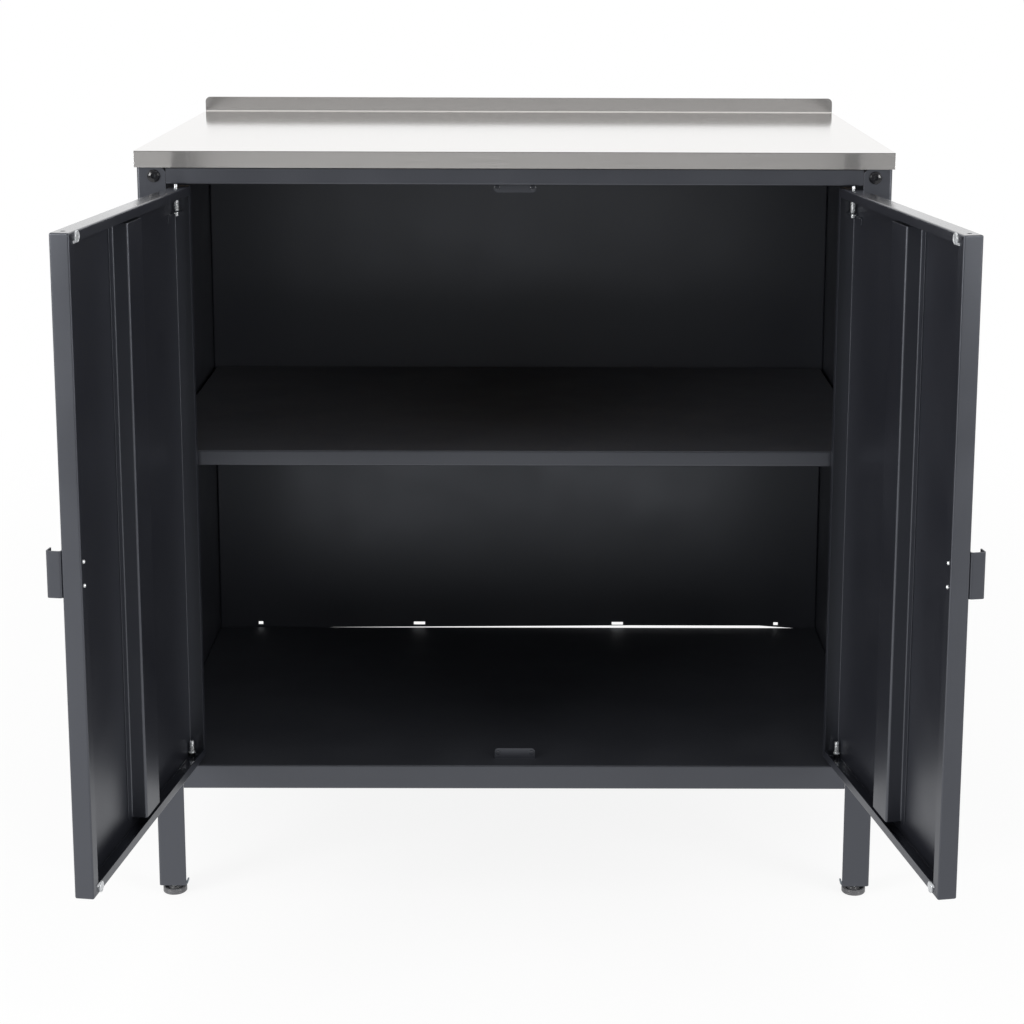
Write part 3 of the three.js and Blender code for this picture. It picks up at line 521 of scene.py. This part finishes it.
def turned(profile, steps=48, rounding=0.0, segments=3):
    # radius and height pairs spun about Z; corners of the profile may be rounded
    bm, verts = chain([(r, 0, z) for r, z in profile])
    if rounding:
        inner = [v for v, (r, _) in zip(verts, profile) if r > 0 and v not in (verts[0], verts[-1])]
        bmesh.ops.bevel(bm, geom=inner, offset=rounding, offset_type="OFFSET", segments=segments,
                        profile=0.5, affect="VERTICES", material=-1, clamp_overlap=True)
    bmesh.ops.spin(bm, geom=bm.verts[:] + bm.edges[:], cent=(0, 0, 0), axis=(0, 0, 1), angle=2 * math.pi,
                   steps=steps, use_merge=True)
    bmesh.ops.remove_doubles(bm, verts=bm.verts, dist=edge["turnMerge"])
    return bm


# worktop

worktop = {
    "half": 400, "depth": 500, "top": 838, "under": 820.5, "sheet": 1, "wall": 2, "hem": 1.6, "hemSteps": 3,
    "round": 2.2, "fold": 1.6, "foldSteps": 4, "crest": 856, "crestCorner": 6, "cornerSteps": 8,
    "cornerRun": 5, "open": 2, "bevel": 0.3,
}


def makeWorktop():
    w = worktop
    front, rear = 0, w["depth"]
    outline = [(front, w["under"]), (front, w["top"]), (rear - w["wall"], w["top"]),
               (rear - w["wall"], w["crest"]), (rear, w["crest"]), (rear, w["under"])]
    bm, _ = chain([(-w["half"], y, z) for y, z in outline], close=True)
    bmesh.ops.contextual_create(bm, geom=bm.edges[:])
    grown = bmesh.ops.extrude_face_region(bm, geom=bm.faces[:])["geom"]
    bmesh.ops.translate(bm, verts=newVerts(grown), vec=(2 * w["half"], 0, 0))
    bmesh.ops.recalc_face_normals(bm, faces=bm.faces)
    bevelWhere(bm, lambda m, d: abs(d.y) > along and m.z > w["crest"] - slack, w["crestCorner"], w["cornerSteps"])
    bevelWhere(bm, lambda m, d: abs(m.z - w["top"]) < slack and abs(m.y - rear + w["wall"]) < slack,
               w["fold"], w["foldSteps"])
    bevelWhere(bm, lambda m, d: (abs(m.z - w["top"]) < slack and m.y < rear - 2 * w["wall"])
               or (abs(d.z) > w["cornerRun"] and m.y < slack), w["round"], w["foldSteps"])
    bevelWhere(bm, lambda m, d: m.z < w["under"] + slack and m.y < rear - slack, w["hem"], w["hemSteps"])
    skin = meshObject(bm)
    inside = [-w["half"] + w["wall"], w["half"] - w["wall"]]
    cut(skin, boxShape(inside, [w["wall"], rear + w["open"]], [w["under"] - w["open"], w["top"] - w["sheet"]]))
    finishPiece(skin, "worktopSteel", "cabinet", ["worktop_skin"], "stainless", bevel=w["bevel"])


# posts

post = {"outer": 398, "inner": 367.7, "front": 3, "leg": 30.3, "sheet": 1.5, "round": 3, "foot": 12.6,
        "corner": 7, "cornerSteps": 8}


def makePost(side, end):
    p, top = post, worktop["under"]
    path = [(-p["inner"], p["front"], 0), (-p["outer"], p["front"], p["round"]),
            (-p["outer"], p["front"] + p["leg"], 0)]
    angle = folded(path, (p["foot"], top), "z", p["sheet"], ((-p["inner"], p["front"], halfway), (0, -1, 0)))
    bm = bmesh.new()
    bm.from_mesh(angle.data)
    bevelWhere(bm, lambda m, d: abs(d.y) > along and m.z > top - slack and m.x > -p["inner"] - slack,
               p["corner"], p["cornerSteps"])
    bm.to_mesh(angle.data)
    bm.free()
    finishPiece(angle, f"post{end.title()}{side.title()}", "cabinet", [f"post_{end}_{side}"], "coat",
                handed(side, end))


# front rail, with its stop tab

rail = {"foot": 802.5, "half": 367.4, "sheet": 1.2, "round": 2, "topFlange": 17, "tabPlane": 24.6,
        "pinHole": 2.35, "holeSpan": (800.5, 806.5)}
tab = {"half": 22.5, "low": 792.1, "corner": 4, "cornerSteps": 6, "bend": 0.8, "rise": 11.6, "relief": 1.5}


def tabPlate(low, high, corners):
    # an upright stop tab with two round corners, at the top or at the foot
    plane = rail["tabPlane"] + rail["sheet"]
    bm = boxShape([-tab["half"], tab["half"]], [plane - rail["sheet"], plane], [low, high])
    bevelWhere(bm, lambda m, d: abs(d.y) > along and abs(m.z - corners) < slack, tab["corner"], tab["cornerSteps"])
    return meshObject(bm)


def makeRail():
    r, t, front, top = rail, tab, post["front"], worktop["under"]
    path = [(front + r["topFlange"], top, 0), (front, top, r["round"]), (front, r["foot"], r["round"]),
            (r["tabPlane"] - t["bend"], r["foot"], 0)]
    web = ((0, front, (r["foot"] + top) / 2), (0, -1, 0))
    channel = folded(path, (-r["half"], r["half"]), "x", r["sheet"], web)
    bend = folded([(r["tabPlane"] - t["bend"], r["foot"], 0), (r["tabPlane"] + r["sheet"], r["foot"], 0)],
                  (-t["half"], t["half"]), "x", r["sheet"], ((0, r["tabPlane"], r["foot"]), (0, 0, -1)))
    piece = joinedShapes(channel, bend, tabPlate(t["low"], r["foot"] + r["sheet"], t["low"]))
    cut(piece, gathered(*(rod("z", (x, door["pivotY"]), r["pinHole"], r["holeSpan"])
                          for x in (-door["pivotX"], door["pivotX"]))))
    finishPiece(piece, "railFront", "cabinet", ["top_rail_front"], "coat")


# floor and shelf

floorSizes = {"top": 155.5, "lip": 27.6, "sideLip": 26.6, "sheet": 1.2, "round": 2.2, "rear": 481, "half": 395.5,
              "back": 13, "gap": 0.3, "pinHole": 2.8, "holeSpan": (151.5, 158.5)}
shelfSizes = {"top": 509, "lip": 17.4, "sheet": 1.2, "round": 2.2, "front": 26, "rear": 478, "half": 391.5,
              "back": 10}


def tray(outline, top, lips, sheet, bendRadius):
    # a sheet with its edges folded down: lips holds (test on the edge, drop, return width and its way)
    bm, _ = chain([(x, y, top) for x, y in outline], close=True)
    face = bmesh.ops.contextual_create(bm, geom=bm.edges[:])["faces"][0]
    if face.normal.z < 0:
        face.normal_flip()
    folds = []
    for test, drop, back in lips:
        edges = [e for e in bm.edges if e.is_boundary and abs(e.verts[0].co.z - top) < fine
                 and abs(e.verts[1].co.z - top) < fine
                 and test((e.verts[0].co + e.verts[1].co) / 2, e.verts[1].co - e.verts[0].co)]
        grown = bmesh.ops.extrude_edge_only(bm, edges=edges)["geom"]
        bmesh.ops.translate(bm, verts=newVerts(grown), vec=(0, 0, -drop))
        folds.append((top, test))
        if back:
            low = [g for g in grown if isinstance(g, bmesh.types.BMEdge) and g.is_boundary
                   and abs(g.verts[0].co.z - g.verts[1].co.z) < fine]
            grown = bmesh.ops.extrude_edge_only(bm, edges=low)["geom"]
            bmesh.ops.translate(bm, verts=newVerts(grown), vec=back)
            folds.append((top - drop, test))
    for height, test in folds:
        bevelWhere(bm, lambda m, d: abs(m.z - height) < fine and abs(d.z) < fine and test(m, d), bendRadius)
    return thickened(bm, sheet, ((0, worktop["depth"] / 2, top), (0, 0, 1)))


def makeFloorPanel():
    p, front, nearX = floorSizes, post["front"], rail["half"]
    notch = front + post["sheet"] + p["gap"]
    outline = [(-nearX, front), (nearX, front), (nearX, notch), (p["half"], notch), (p["half"], p["rear"]),
               (-p["half"], p["rear"]), (-p["half"], notch), (-nearX, notch)]
    lips = [
        (lambda m, d: abs(m.y - front) < fine, p["lip"], (0, p["back"], 0)),
        (lambda m, d: abs(m.y - p["rear"]) < fine, p["lip"], None),
        (lambda m, d: abs(abs(m.x) - p["half"]) < fine, p["sideLip"], None),
    ]
    panel = tray(outline, p["top"], lips, p["sheet"], p["round"])
    holes = [rod("z", (x, door["pivotY"]), p["pinHole"], p["holeSpan"]) for x in (-door["pivotX"], door["pivotX"])]
    holes += [rod("z", (x, rail["tabPlane"]), tab["relief"], p["holeSpan"], holeSteps)
              for x in (-tab["half"], tab["half"])]
    cut(panel, gathered(*holes))
    stop = tabPlate(p["top"] - p["sheet"], p["top"] + tab["rise"], p["top"] + tab["rise"])
    finishPiece(joinedShapes(panel, stop), "floorSheet", "cabinet", ["floor_panel"], "coat", material=trayCoat)


def makeShelf():
    s = shelfSizes
    outline = [(-s["half"], s["front"]), (s["half"], s["front"]), (s["half"], s["rear"]), (-s["half"], s["rear"])]
    lips = [
        (lambda m, d: abs(m.y - s["front"]) < fine, s["lip"], (0, s["back"], 0)),
        (lambda m, d: abs(m.y - s["rear"]) < fine, s["lip"], None),
        (lambda m, d: abs(abs(m.x) - s["half"]) < fine, s["lip"], None),
    ]
    finishPiece(tray(outline, s["top"], lips, s["sheet"], s["round"]), "shelfTray", "cabinet", ["shelf"], "coat",
                material=trayCoat)


# doors: pan, stiffener and handle, each drawn in the door's own frame

door = {
    "pivotX": 358, "pivotY": 8, "skin": -5, "rim": 14, "heel": -8, "reach": 356.5, "foot": 162.5, "head": 800,
    "sheet": 1, "round": 1.8, "lip": 10, "freeLip": 13, "vent": (345, 4.5, 2.5), "topHole": 2.3, "footHole": 3.65,
    "over": 3, "mitre": {"wide": 0.4, "deep": 1.2, "from": 2.4},
}
handle = {"low": 459.35, "high": 504.35, "out": 15.3, "base": 14, "lip": 12, "sheet": 1.5, "round": 2.7,
          "screwU": 350.5, "screwZ": (493.85, 470.85), "screwHole": 2.2, "holeIn": 1}
hat = {"centre": {"left": 173.25, "right": 182.25}, "half": 21, "foot": 10, "sheet": 1, "crest": 13.2,
       "base": -2.95, "capLow": -3.85, "round": 1.5, "outer": 2.5, "low": 175.5, "high": 787}


def makeDoor(side):
    d, m = door, door["mitre"]
    bm = boxShape([d["heel"], d["reach"]], [d["skin"], d["rim"]], [d["foot"], d["head"]])
    rimFace = max(bm.faces, key=lambda f: f.calc_center_median().y)
    bmesh.ops.inset_region(bm, faces=[rimFace], thickness=d["lip"], use_even_offset=True)
    inner = set(rimFace.verts)
    for vert in inner:
        if vert.co.x > 0:
            vert.co.x -= d["freeLip"] - d["lip"]
    bmesh.ops.delete(bm, geom=[rimFace], context="FACES_ONLY")
    edges = [e for e in bm.edges if not inner.intersection(e.verts)]
    bmesh.ops.bevel(bm, geom=edges, offset=d["round"], offset_type="OFFSET", segments=bendSteps, profile=0.5,
                    affect="EDGES", material=-1)
    skinMiddle = ((d["heel"] + d["reach"]) / 2, d["skin"], halfway)
    pan = thickened(bm, d["sheet"], (skinMiddle, (0, -1, 0)))
    u, v, radius = d["vent"]
    head = (d["head"] - d["over"], d["head"] + d["over"])
    foot = (d["foot"] - d["over"], d["foot"] + d["over"])
    cutters = [rod("z", (0, 0), d["topHole"], head), rod("z", (u, v), radius, head),
               rod("z", (0, 0), d["footHole"], foot)]
    through = (d["skin"] - d["over"], d["rim"] + d["over"])
    cutters += [rod("y", (handle["screwU"], z), handle["screwHole"], through, holeSteps) for z in handle["screwZ"]]
    corners = [(d["heel"], d["foot"], d["lip"], 1, 1), (d["reach"], d["foot"], d["freeLip"], -1, 1),
               (d["reach"], d["head"], d["freeLip"], -1, -1), (d["heel"], d["head"], d["lip"], 1, -1)]
    for x, z, lip, dx, dz in corners:
        slit = boxShape([0, math.hypot(lip, d["lip"])], [d["rim"] - m["deep"], d["rim"] + d["over"]],
                        [-m["wide"] / 2, m["wide"] / 2])
        tilt = math.atan2(dz * d["lip"], dx * lip)
        slit.transform(Matrix.Translation((x + dx * m["from"], 0, z + dz * m["from"]))
                       @ Matrix.Rotation(-tilt, 4, "Y"))
        cutters.append(slit)
    for cutter in cutters:
        cut(pan, cutter)
    finishPiece(pan, f"doorPan{side.title()}", f"door_{side}", [f"door_pan_{side}"], "coat", doorPlace(side),
                material=doorCoat)


def makeStiffener(side):
    h, centre = hat, hat["centre"][side]
    near, far = centre - h["half"], centre + h["half"]
    path = [(near - h["foot"], h["base"], 0), (near, h["base"], h["round"]), (near, h["crest"], h["outer"]),
            (far, h["crest"], h["outer"]), (far, h["base"], h["round"]), (far + h["foot"], h["base"], 0)]
    piece = folded(path, (h["low"], h["high"]), "z", h["sheet"], ((centre, h["crest"], halfway), (0, 1, 0)))
    walls = [near + h["sheet"], far - h["sheet"]], [h["capLow"], h["crest"] - h["sheet"]]
    caps = [meshObject(boxShape(*walls, [z, z + h["sheet"]])) for z in (h["low"], h["high"] - h["sheet"])]
    finishPiece(joinedShapes(piece, *caps), f"doorStiffener{side.title()}", f"door_{side}", [f"stiffener_{side}"],
                "coat", doorPlace(side))


def makeHandle(side):
    h, d = handle, door
    outer = d["skin"] - h["out"]
    path = [(d["reach"] - h["base"], d["skin"], 0), (d["reach"], d["skin"], h["round"]),
            (d["reach"], outer, h["round"]), (d["reach"] - h["lip"], outer, 0)]
    web = ((d["reach"], (d["skin"] + outer) / 2, halfway), (1, 0, 0))
    piece = folded(path, (h["low"], h["high"]), "z", h["sheet"], web)
    through = (d["skin"] - d["over"], d["skin"] + h["holeIn"])
    for z in h["screwZ"]:
        cut(piece, rod("y", (h["screwU"], z), h["screwHole"], through, holeSteps))
    finishPiece(piece, f"doorHandle{side.title()}", f"door_{side}", [f"handle_{side}"], "coat", doorPlace(side))


makeWorktop()
for side in sides:
    for end in ("front", "rear"):
        makePost(side, end)
makeRail()
makeFloorPanel()
makeShelf()
print("carcass made")
for side in sides:
    makeDoor(side)
    makeStiffener(side)
    makeHandle(side)
print("doors made")

# fasteners; profiles hold radius and height pairs

nutEdge = (0.45, 2)  # mm taken off a nut's corners, and in how many steps


def hexNut(radius, low, high):
    bm = rod("z", (0, 0), radius, (low, high), hexagon)
    bevelWhere(bm, lambda m, d: abs(d.z) < fine, *nutEdge)
    return meshObject(bm)


bolt = {"x": 380, "front": 3, "z": 811.3, "recess": 2.3, "recessSpan": (-5, -1.3), "round": 0.25, "nut": 5.6,
        "nutSpan": (2.7, 6.7),
        "profile": [(0, -2.9), (3.0, -2.9), (5.2, -2.25), (6.4, -1.2), (6.8, -0.35), (6.8, 0), (3, 0), (3, 12),
                    (0, 12)]}


def makeBolt(side):
    b = bolt
    head = meshObject(turned(b["profile"], rounding=b["round"]))
    cut(head, rod("z", (0, 0), b["recess"], b["recessSpan"], hexagon))
    place = handed(side) @ Matrix.Translation((-b["x"], b["front"], b["z"])) @ towardsBack
    finishPiece(joinedShapes(head, hexNut(b["nut"], *b["nutSpan"])), f"postBolt{side.title()}", "cabinet",
                [f"post_bolt_{side}"], "dark_steel", place, bevel=0)


screw = {"headRadius": 3.4, "rim": 0.9, "head": 1.8, "crown": 0.6, "shank": 1.9, "length": 21.9, "threaded": 4,
         "thread": 0.22, "pitch": 0.8, "point": 0.7, "steps": 32, "slot": (2.6, 0.65, 1), "over": 1}


def makeScrew(side, index):
    s, h = screw, handle
    z, tip = s["length"] - s["threaded"], s["length"] - s["point"]
    profile = [(0, -s["head"]), (s["headRadius"] - s["rim"], -s["head"]), (s["headRadius"], -s["crown"]),
               (s["headRadius"], 0), (s["shank"], 0), (s["shank"], z)]
    while z + s["pitch"] < tip:
        profile += [(s["shank"] - s["thread"], z + s["pitch"] / 2), (s["shank"], z + s["pitch"])]
        z += s["pitch"]
    profile += [(s["shank"], tip), (s["shank"] - s["point"], s["length"]), (0, s["length"])]
    shape = meshObject(turned(profile, s["steps"]))
    long, wide, deep = s["slot"]
    for angle in (0, 90):
        slit = boxShape([-long / 2, long / 2], [-wide / 2, wide / 2], [-s["head"] - s["over"], -s["head"] + deep])
        slit.transform(Matrix.Rotation(math.radians(angle), 4, "Z"))
        cut(shape, slit)
    spot = (h["screwU"], door["skin"] - h["sheet"], h["screwZ"][index])
    place = doorPlace(side) @ Matrix.Translation(spot) @ towardsBack
    finishPiece(shape, f"handleScrew{levels[index].title()}{side.title()}", f"door_{side}",
                [f"handle_screw_{levels[index]}_{side}"], "zinc", place, bevel=0)


# hinge pins: a sprung one at the top with its spring and bracket, a fixed one with its bush below

topPin = {"radius": 2, "foot": 768, "tip": 809, "chamfer": 0.6, "collar": 3.2, "collarSpan": (789, 790.5),
          "round": 0.15, "steps": 40, "wire": 0.6, "wireSteps": 16, "wireZ": 771.9, "near": 4, "far": 7,
          "hook": 2.4, "hookShare": 0.95, "bevel": 0.1}


def makeTopPin(side):
    p = topPin
    r, c = p["radius"], p["chamfer"]
    low, high = p["collarSpan"]
    profile = [(0, p["foot"]), (r - c, p["foot"]), (r, p["foot"] + c), (r, low), (p["collar"], low),
               (p["collar"], high), (r, high), (r, p["tip"] - c), (r - c, p["tip"]), (0, p["tip"])]
    shaft = meshObject(turned(profile, p["steps"], p["round"], finePinSteps))
    wire = meshObject(rod("x", (0, p["wireZ"]), p["wire"], (-p["near"], p["far"]), p["wireSteps"]))
    hook = meshObject(rod("y", (p["far"] - p["wire"], p["wireZ"]), p["wire"] * p["hookShare"], (0, p["hook"]),
                          p["wireSteps"]))
    finishPiece(joinedShapes(shaft, wire, hook), f"sprungPin{side.title()}", f"pin_{side}", [f"top_pin_{side}"],
                "zinc", doorPlace(side), bevel=p["bevel"])


spring = {"radius": 2.6, "wire": 0.4, "wireSteps": 10, "turns": 8, "steps": 20, "low": 774.26, "high": 788.54,
          "seat": 773.8, "pressed": 0.505}


def makeSpring(side):
    s = spring
    bm = bmesh.new()
    made = bmesh.ops.create_circle(bm, cap_ends=True, radius=s["wire"], segments=s["wireSteps"])
    bmesh.ops.rotate(bm, verts=made["verts"], cent=(0, 0, 0), matrix=Matrix.Rotation(math.pi / 2, 3, "X"))
    bmesh.ops.translate(bm, verts=bm.verts, vec=(s["radius"], 0, s["low"]))
    count = s["turns"] * s["steps"]
    bmesh.ops.spin(bm, geom=bm.faces[:] + bm.edges[:] + bm.verts[:], cent=(0, 0, 0), axis=(0, 0, 1),
                   angle=2 * math.pi * s["turns"], steps=count, dvec=(0, 0, (s["high"] - s["low"]) / count))
    coil = finishPiece(meshObject(bm), f"pinSpring{side.title()}", f"door_{side}", [f"pin_spring_{side}"], "zinc",
                       doorPlace(side), bevel=0)
    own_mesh(coil)  # a mesh of its own, not shared


bracket = {"top": 773.8, "low": 761.8, "half": 4.5, "reach": 19, "out": 5, "sheet": 1, "round": 1.6, "plateTop": 771,
           "corner": 2.5, "cornerSteps": 4, "hole": 2.25, "over": 3, "bevel": 0.12}


def makeBracket(side):
    b, inside = bracket, door["skin"] + door["sheet"]
    angle = folded([(inside, b["low"], 0), (inside, b["top"], b["round"]), (b["out"], b["top"], 0)],
                   (-b["half"], b["half"]), "x", b["sheet"], ((0, 0, b["top"]), (0, 0, 1)))
    cut(angle, rod("z", (0, 0), b["hole"], (b["top"] - b["over"], b["top"] + b["over"])))
    plate = boxShape([b["half"], b["reach"]], [inside, inside + b["sheet"]], [b["low"], b["plateTop"]])
    bevelWhere(plate, lambda m, d: abs(d.y) > along and m.x > b["reach"] - slack, b["corner"], b["cornerSteps"])
    finishPiece(joinedShapes(angle, meshObject(plate)), f"pinBracket{side.title()}", f"door_{side}",
                [f"pin_bracket_{side}"], "zinc", doorPlace(side), bevel=b["bevel"], material=finish["coat"])


lowerPin = {"steps": 40, "round": 0.12,
            "profile": [(0, 148), (1.8, 148), (2.5, 148.7), (2.5, 168.2), (3.7, 168.2), (3.7, 169.6), (2.5, 169.6),
                        (2.5, 177), (2.1, 177), (2.1, 178.2), (2.5, 178.2), (2.5, 181.3), (1.8, 182), (0, 182)],
            "bush": [(2.55, 155.8), (5, 155.8), (5, 162.35), (3.5, 162.35), (3.5, 167.9), (2.55, 167.9),
                     (2.55, 155.8)]}


def makeLowerPin(side):
    p = lowerPin
    shaft = meshObject(turned(p["profile"], p["steps"], p["round"], finePinSteps))
    finishPiece(shaft, f"lowerPin{side.title()}", f"door_{side}", [f"bottom_pin_{side}"], "zinc", doorPlace(side),
                bevel=0)
    finishPiece(meshObject(turned(p["bush"], p["steps"])), f"pinBush{side.title()}", f"door_{side}",
                [f"pin_bush_{side}"], "dark_steel", doorPlace(side))


# magnets on the doors, studs on the stop tabs

magnet = {"u": 338, "z": (794.5, 168), "radius": 5.5, "thick": 1.6, "edge": 0.35, "ring": 1.2, "well": 1.5,
          "sunk": 0.25, "tail": 4, "tailHeight": 2.6, "tailThick": 0.8, "within": 0.01, "corner": 0.9,
          "cornerSteps": 4, "bevel": 0.1}


def makeMagnet(side, index):
    v = magnet
    r, t, e, sunk = v["radius"], v["thick"], v["edge"], v["thick"] - v["sunk"]
    cup = meshObject(turned([(0, 0), (r, 0), (r, t - e), (r - e, t), (r - v["ring"], t), (r - v["well"], sunk),
                             (0, sunk)]))
    outer = r - v["within"]  # just inside the cup's edge, so that tail and cup share no point
    low = -outer if levels[index] == "top" else outer - v["tailHeight"]
    tail = boxShape([0, r + v["tail"]], [0, v["tailThick"]], [low, low + v["tailHeight"]])
    bevelWhere(tail, lambda m, d: abs(d.y) > along and m.x > r, v["corner"], v["cornerSteps"])
    cup.data.transform(towardsBack)
    place = doorPlace(side) @ Matrix.Translation((v["u"], door["rim"], v["z"][index]))
    finishPiece(joinedShapes(cup, meshObject(tail)), f"magnet{levels[index].title()}{side.title()}", f"door_{side}",
                [f"magnet_{levels[index]}_{side}"], "zinc", place, bevel=v["bevel"], material=magnetPlate)


bumper = {"x": 19, "z": (797.3, 162.2), "radius": 3, "thick": 0.7, "face": 0.6, "shoulder": 0.45, "round": 0.15,
          "steps": 40}


def makeBumper(side, index):
    b = bumper
    r, t = b["radius"], b["thick"]
    dome = turned([(0, -t), (r * b["face"], -t), (r, -t * b["shoulder"]), (r, 0), (0, 0)], b["steps"], b["round"])
    place = handed(side) @ Matrix.Translation((-b["x"], rail["tabPlane"], b["z"][index])) @ towardsBack
    finishPiece(meshObject(dome), f"bumper{levels[index].title()}{side.title()}", "cabinet",
                [f"bumper_{levels[index]}_{side}"], "clear", place, bevel=0)


# levelling feet: a cup shaped pad, a threaded stem and its nut

foot = {"x": 382.85, "y": 18.15,
        "pad": [(0, 0), (12.5, 0), (13.3, 0.8), (13.3, 2.0), (13.0, 2.4), (13.3, 2.8), (13.3, 4.4), (13.0, 4.8),
                (13.3, 5.2), (13.3, 6.0), (12.7, 6.6), (11.7, 6.6), (11.0, 5.8), (10.4, 3.4), (9.2, 2.6), (7.4, 3.2),
                (6.2, 7.1), (0, 7.1)],
        "padSteps": 64, "round": 0.25, "stem": 4, "stemSteps": 32, "thread": 0.35, "pitch": 1.25, "span": (7.2, 32),
        "nut": 7.4, "nutSpan": (7.9, 12.3)}


def makeStem():
    # rings at the pitch of the thread stand for it
    f = foot
    z, high = f["span"]
    core = f["stem"] - f["thread"]
    profile = [(0, z), (core, z)]
    while z + f["pitch"] < high:
        profile += [(f["stem"], z + f["pitch"] / 2), (core, z + f["pitch"])]
        z += f["pitch"]
    profile += [(core, high), (0, high)]
    return meshObject(turned(profile, f["stemSteps"]))


def makeFoot(side, end):
    f = foot
    matrix = handed(side, end) @ Matrix.Translation((-f["x"], f["y"], 0))
    label = f"{end.title()}{side.title()}"
    finishPiece(meshObject(turned(f["pad"], f["padSteps"], f["round"])), f"footPad{label}", f"foot_{end}_{side}",
                [f"foot_pad_{end}_{side}"], "pad", matrix, bevel=0)
    finishPiece(joinedShapes(makeStem(), hexNut(f["nut"], *f["nutSpan"])), f"footStem{label}", f"foot_{end}_{side}",
                [f"foot_stem_{end}_{side}"], "zinc", matrix, bevel=0)


for side in sides:
    makeBolt(side)
    makeTopPin(side)
    makeSpring(side)
    makeBracket(side)
    makeLowerPin(side)
    for index in (0, 1):
        makeScrew(side, index)
        makeMagnet(side, index)
        makeBumper(side, index)
    for end in ("front", "rear"):
        makeFoot(side, end)
print("fasteners and feet made")
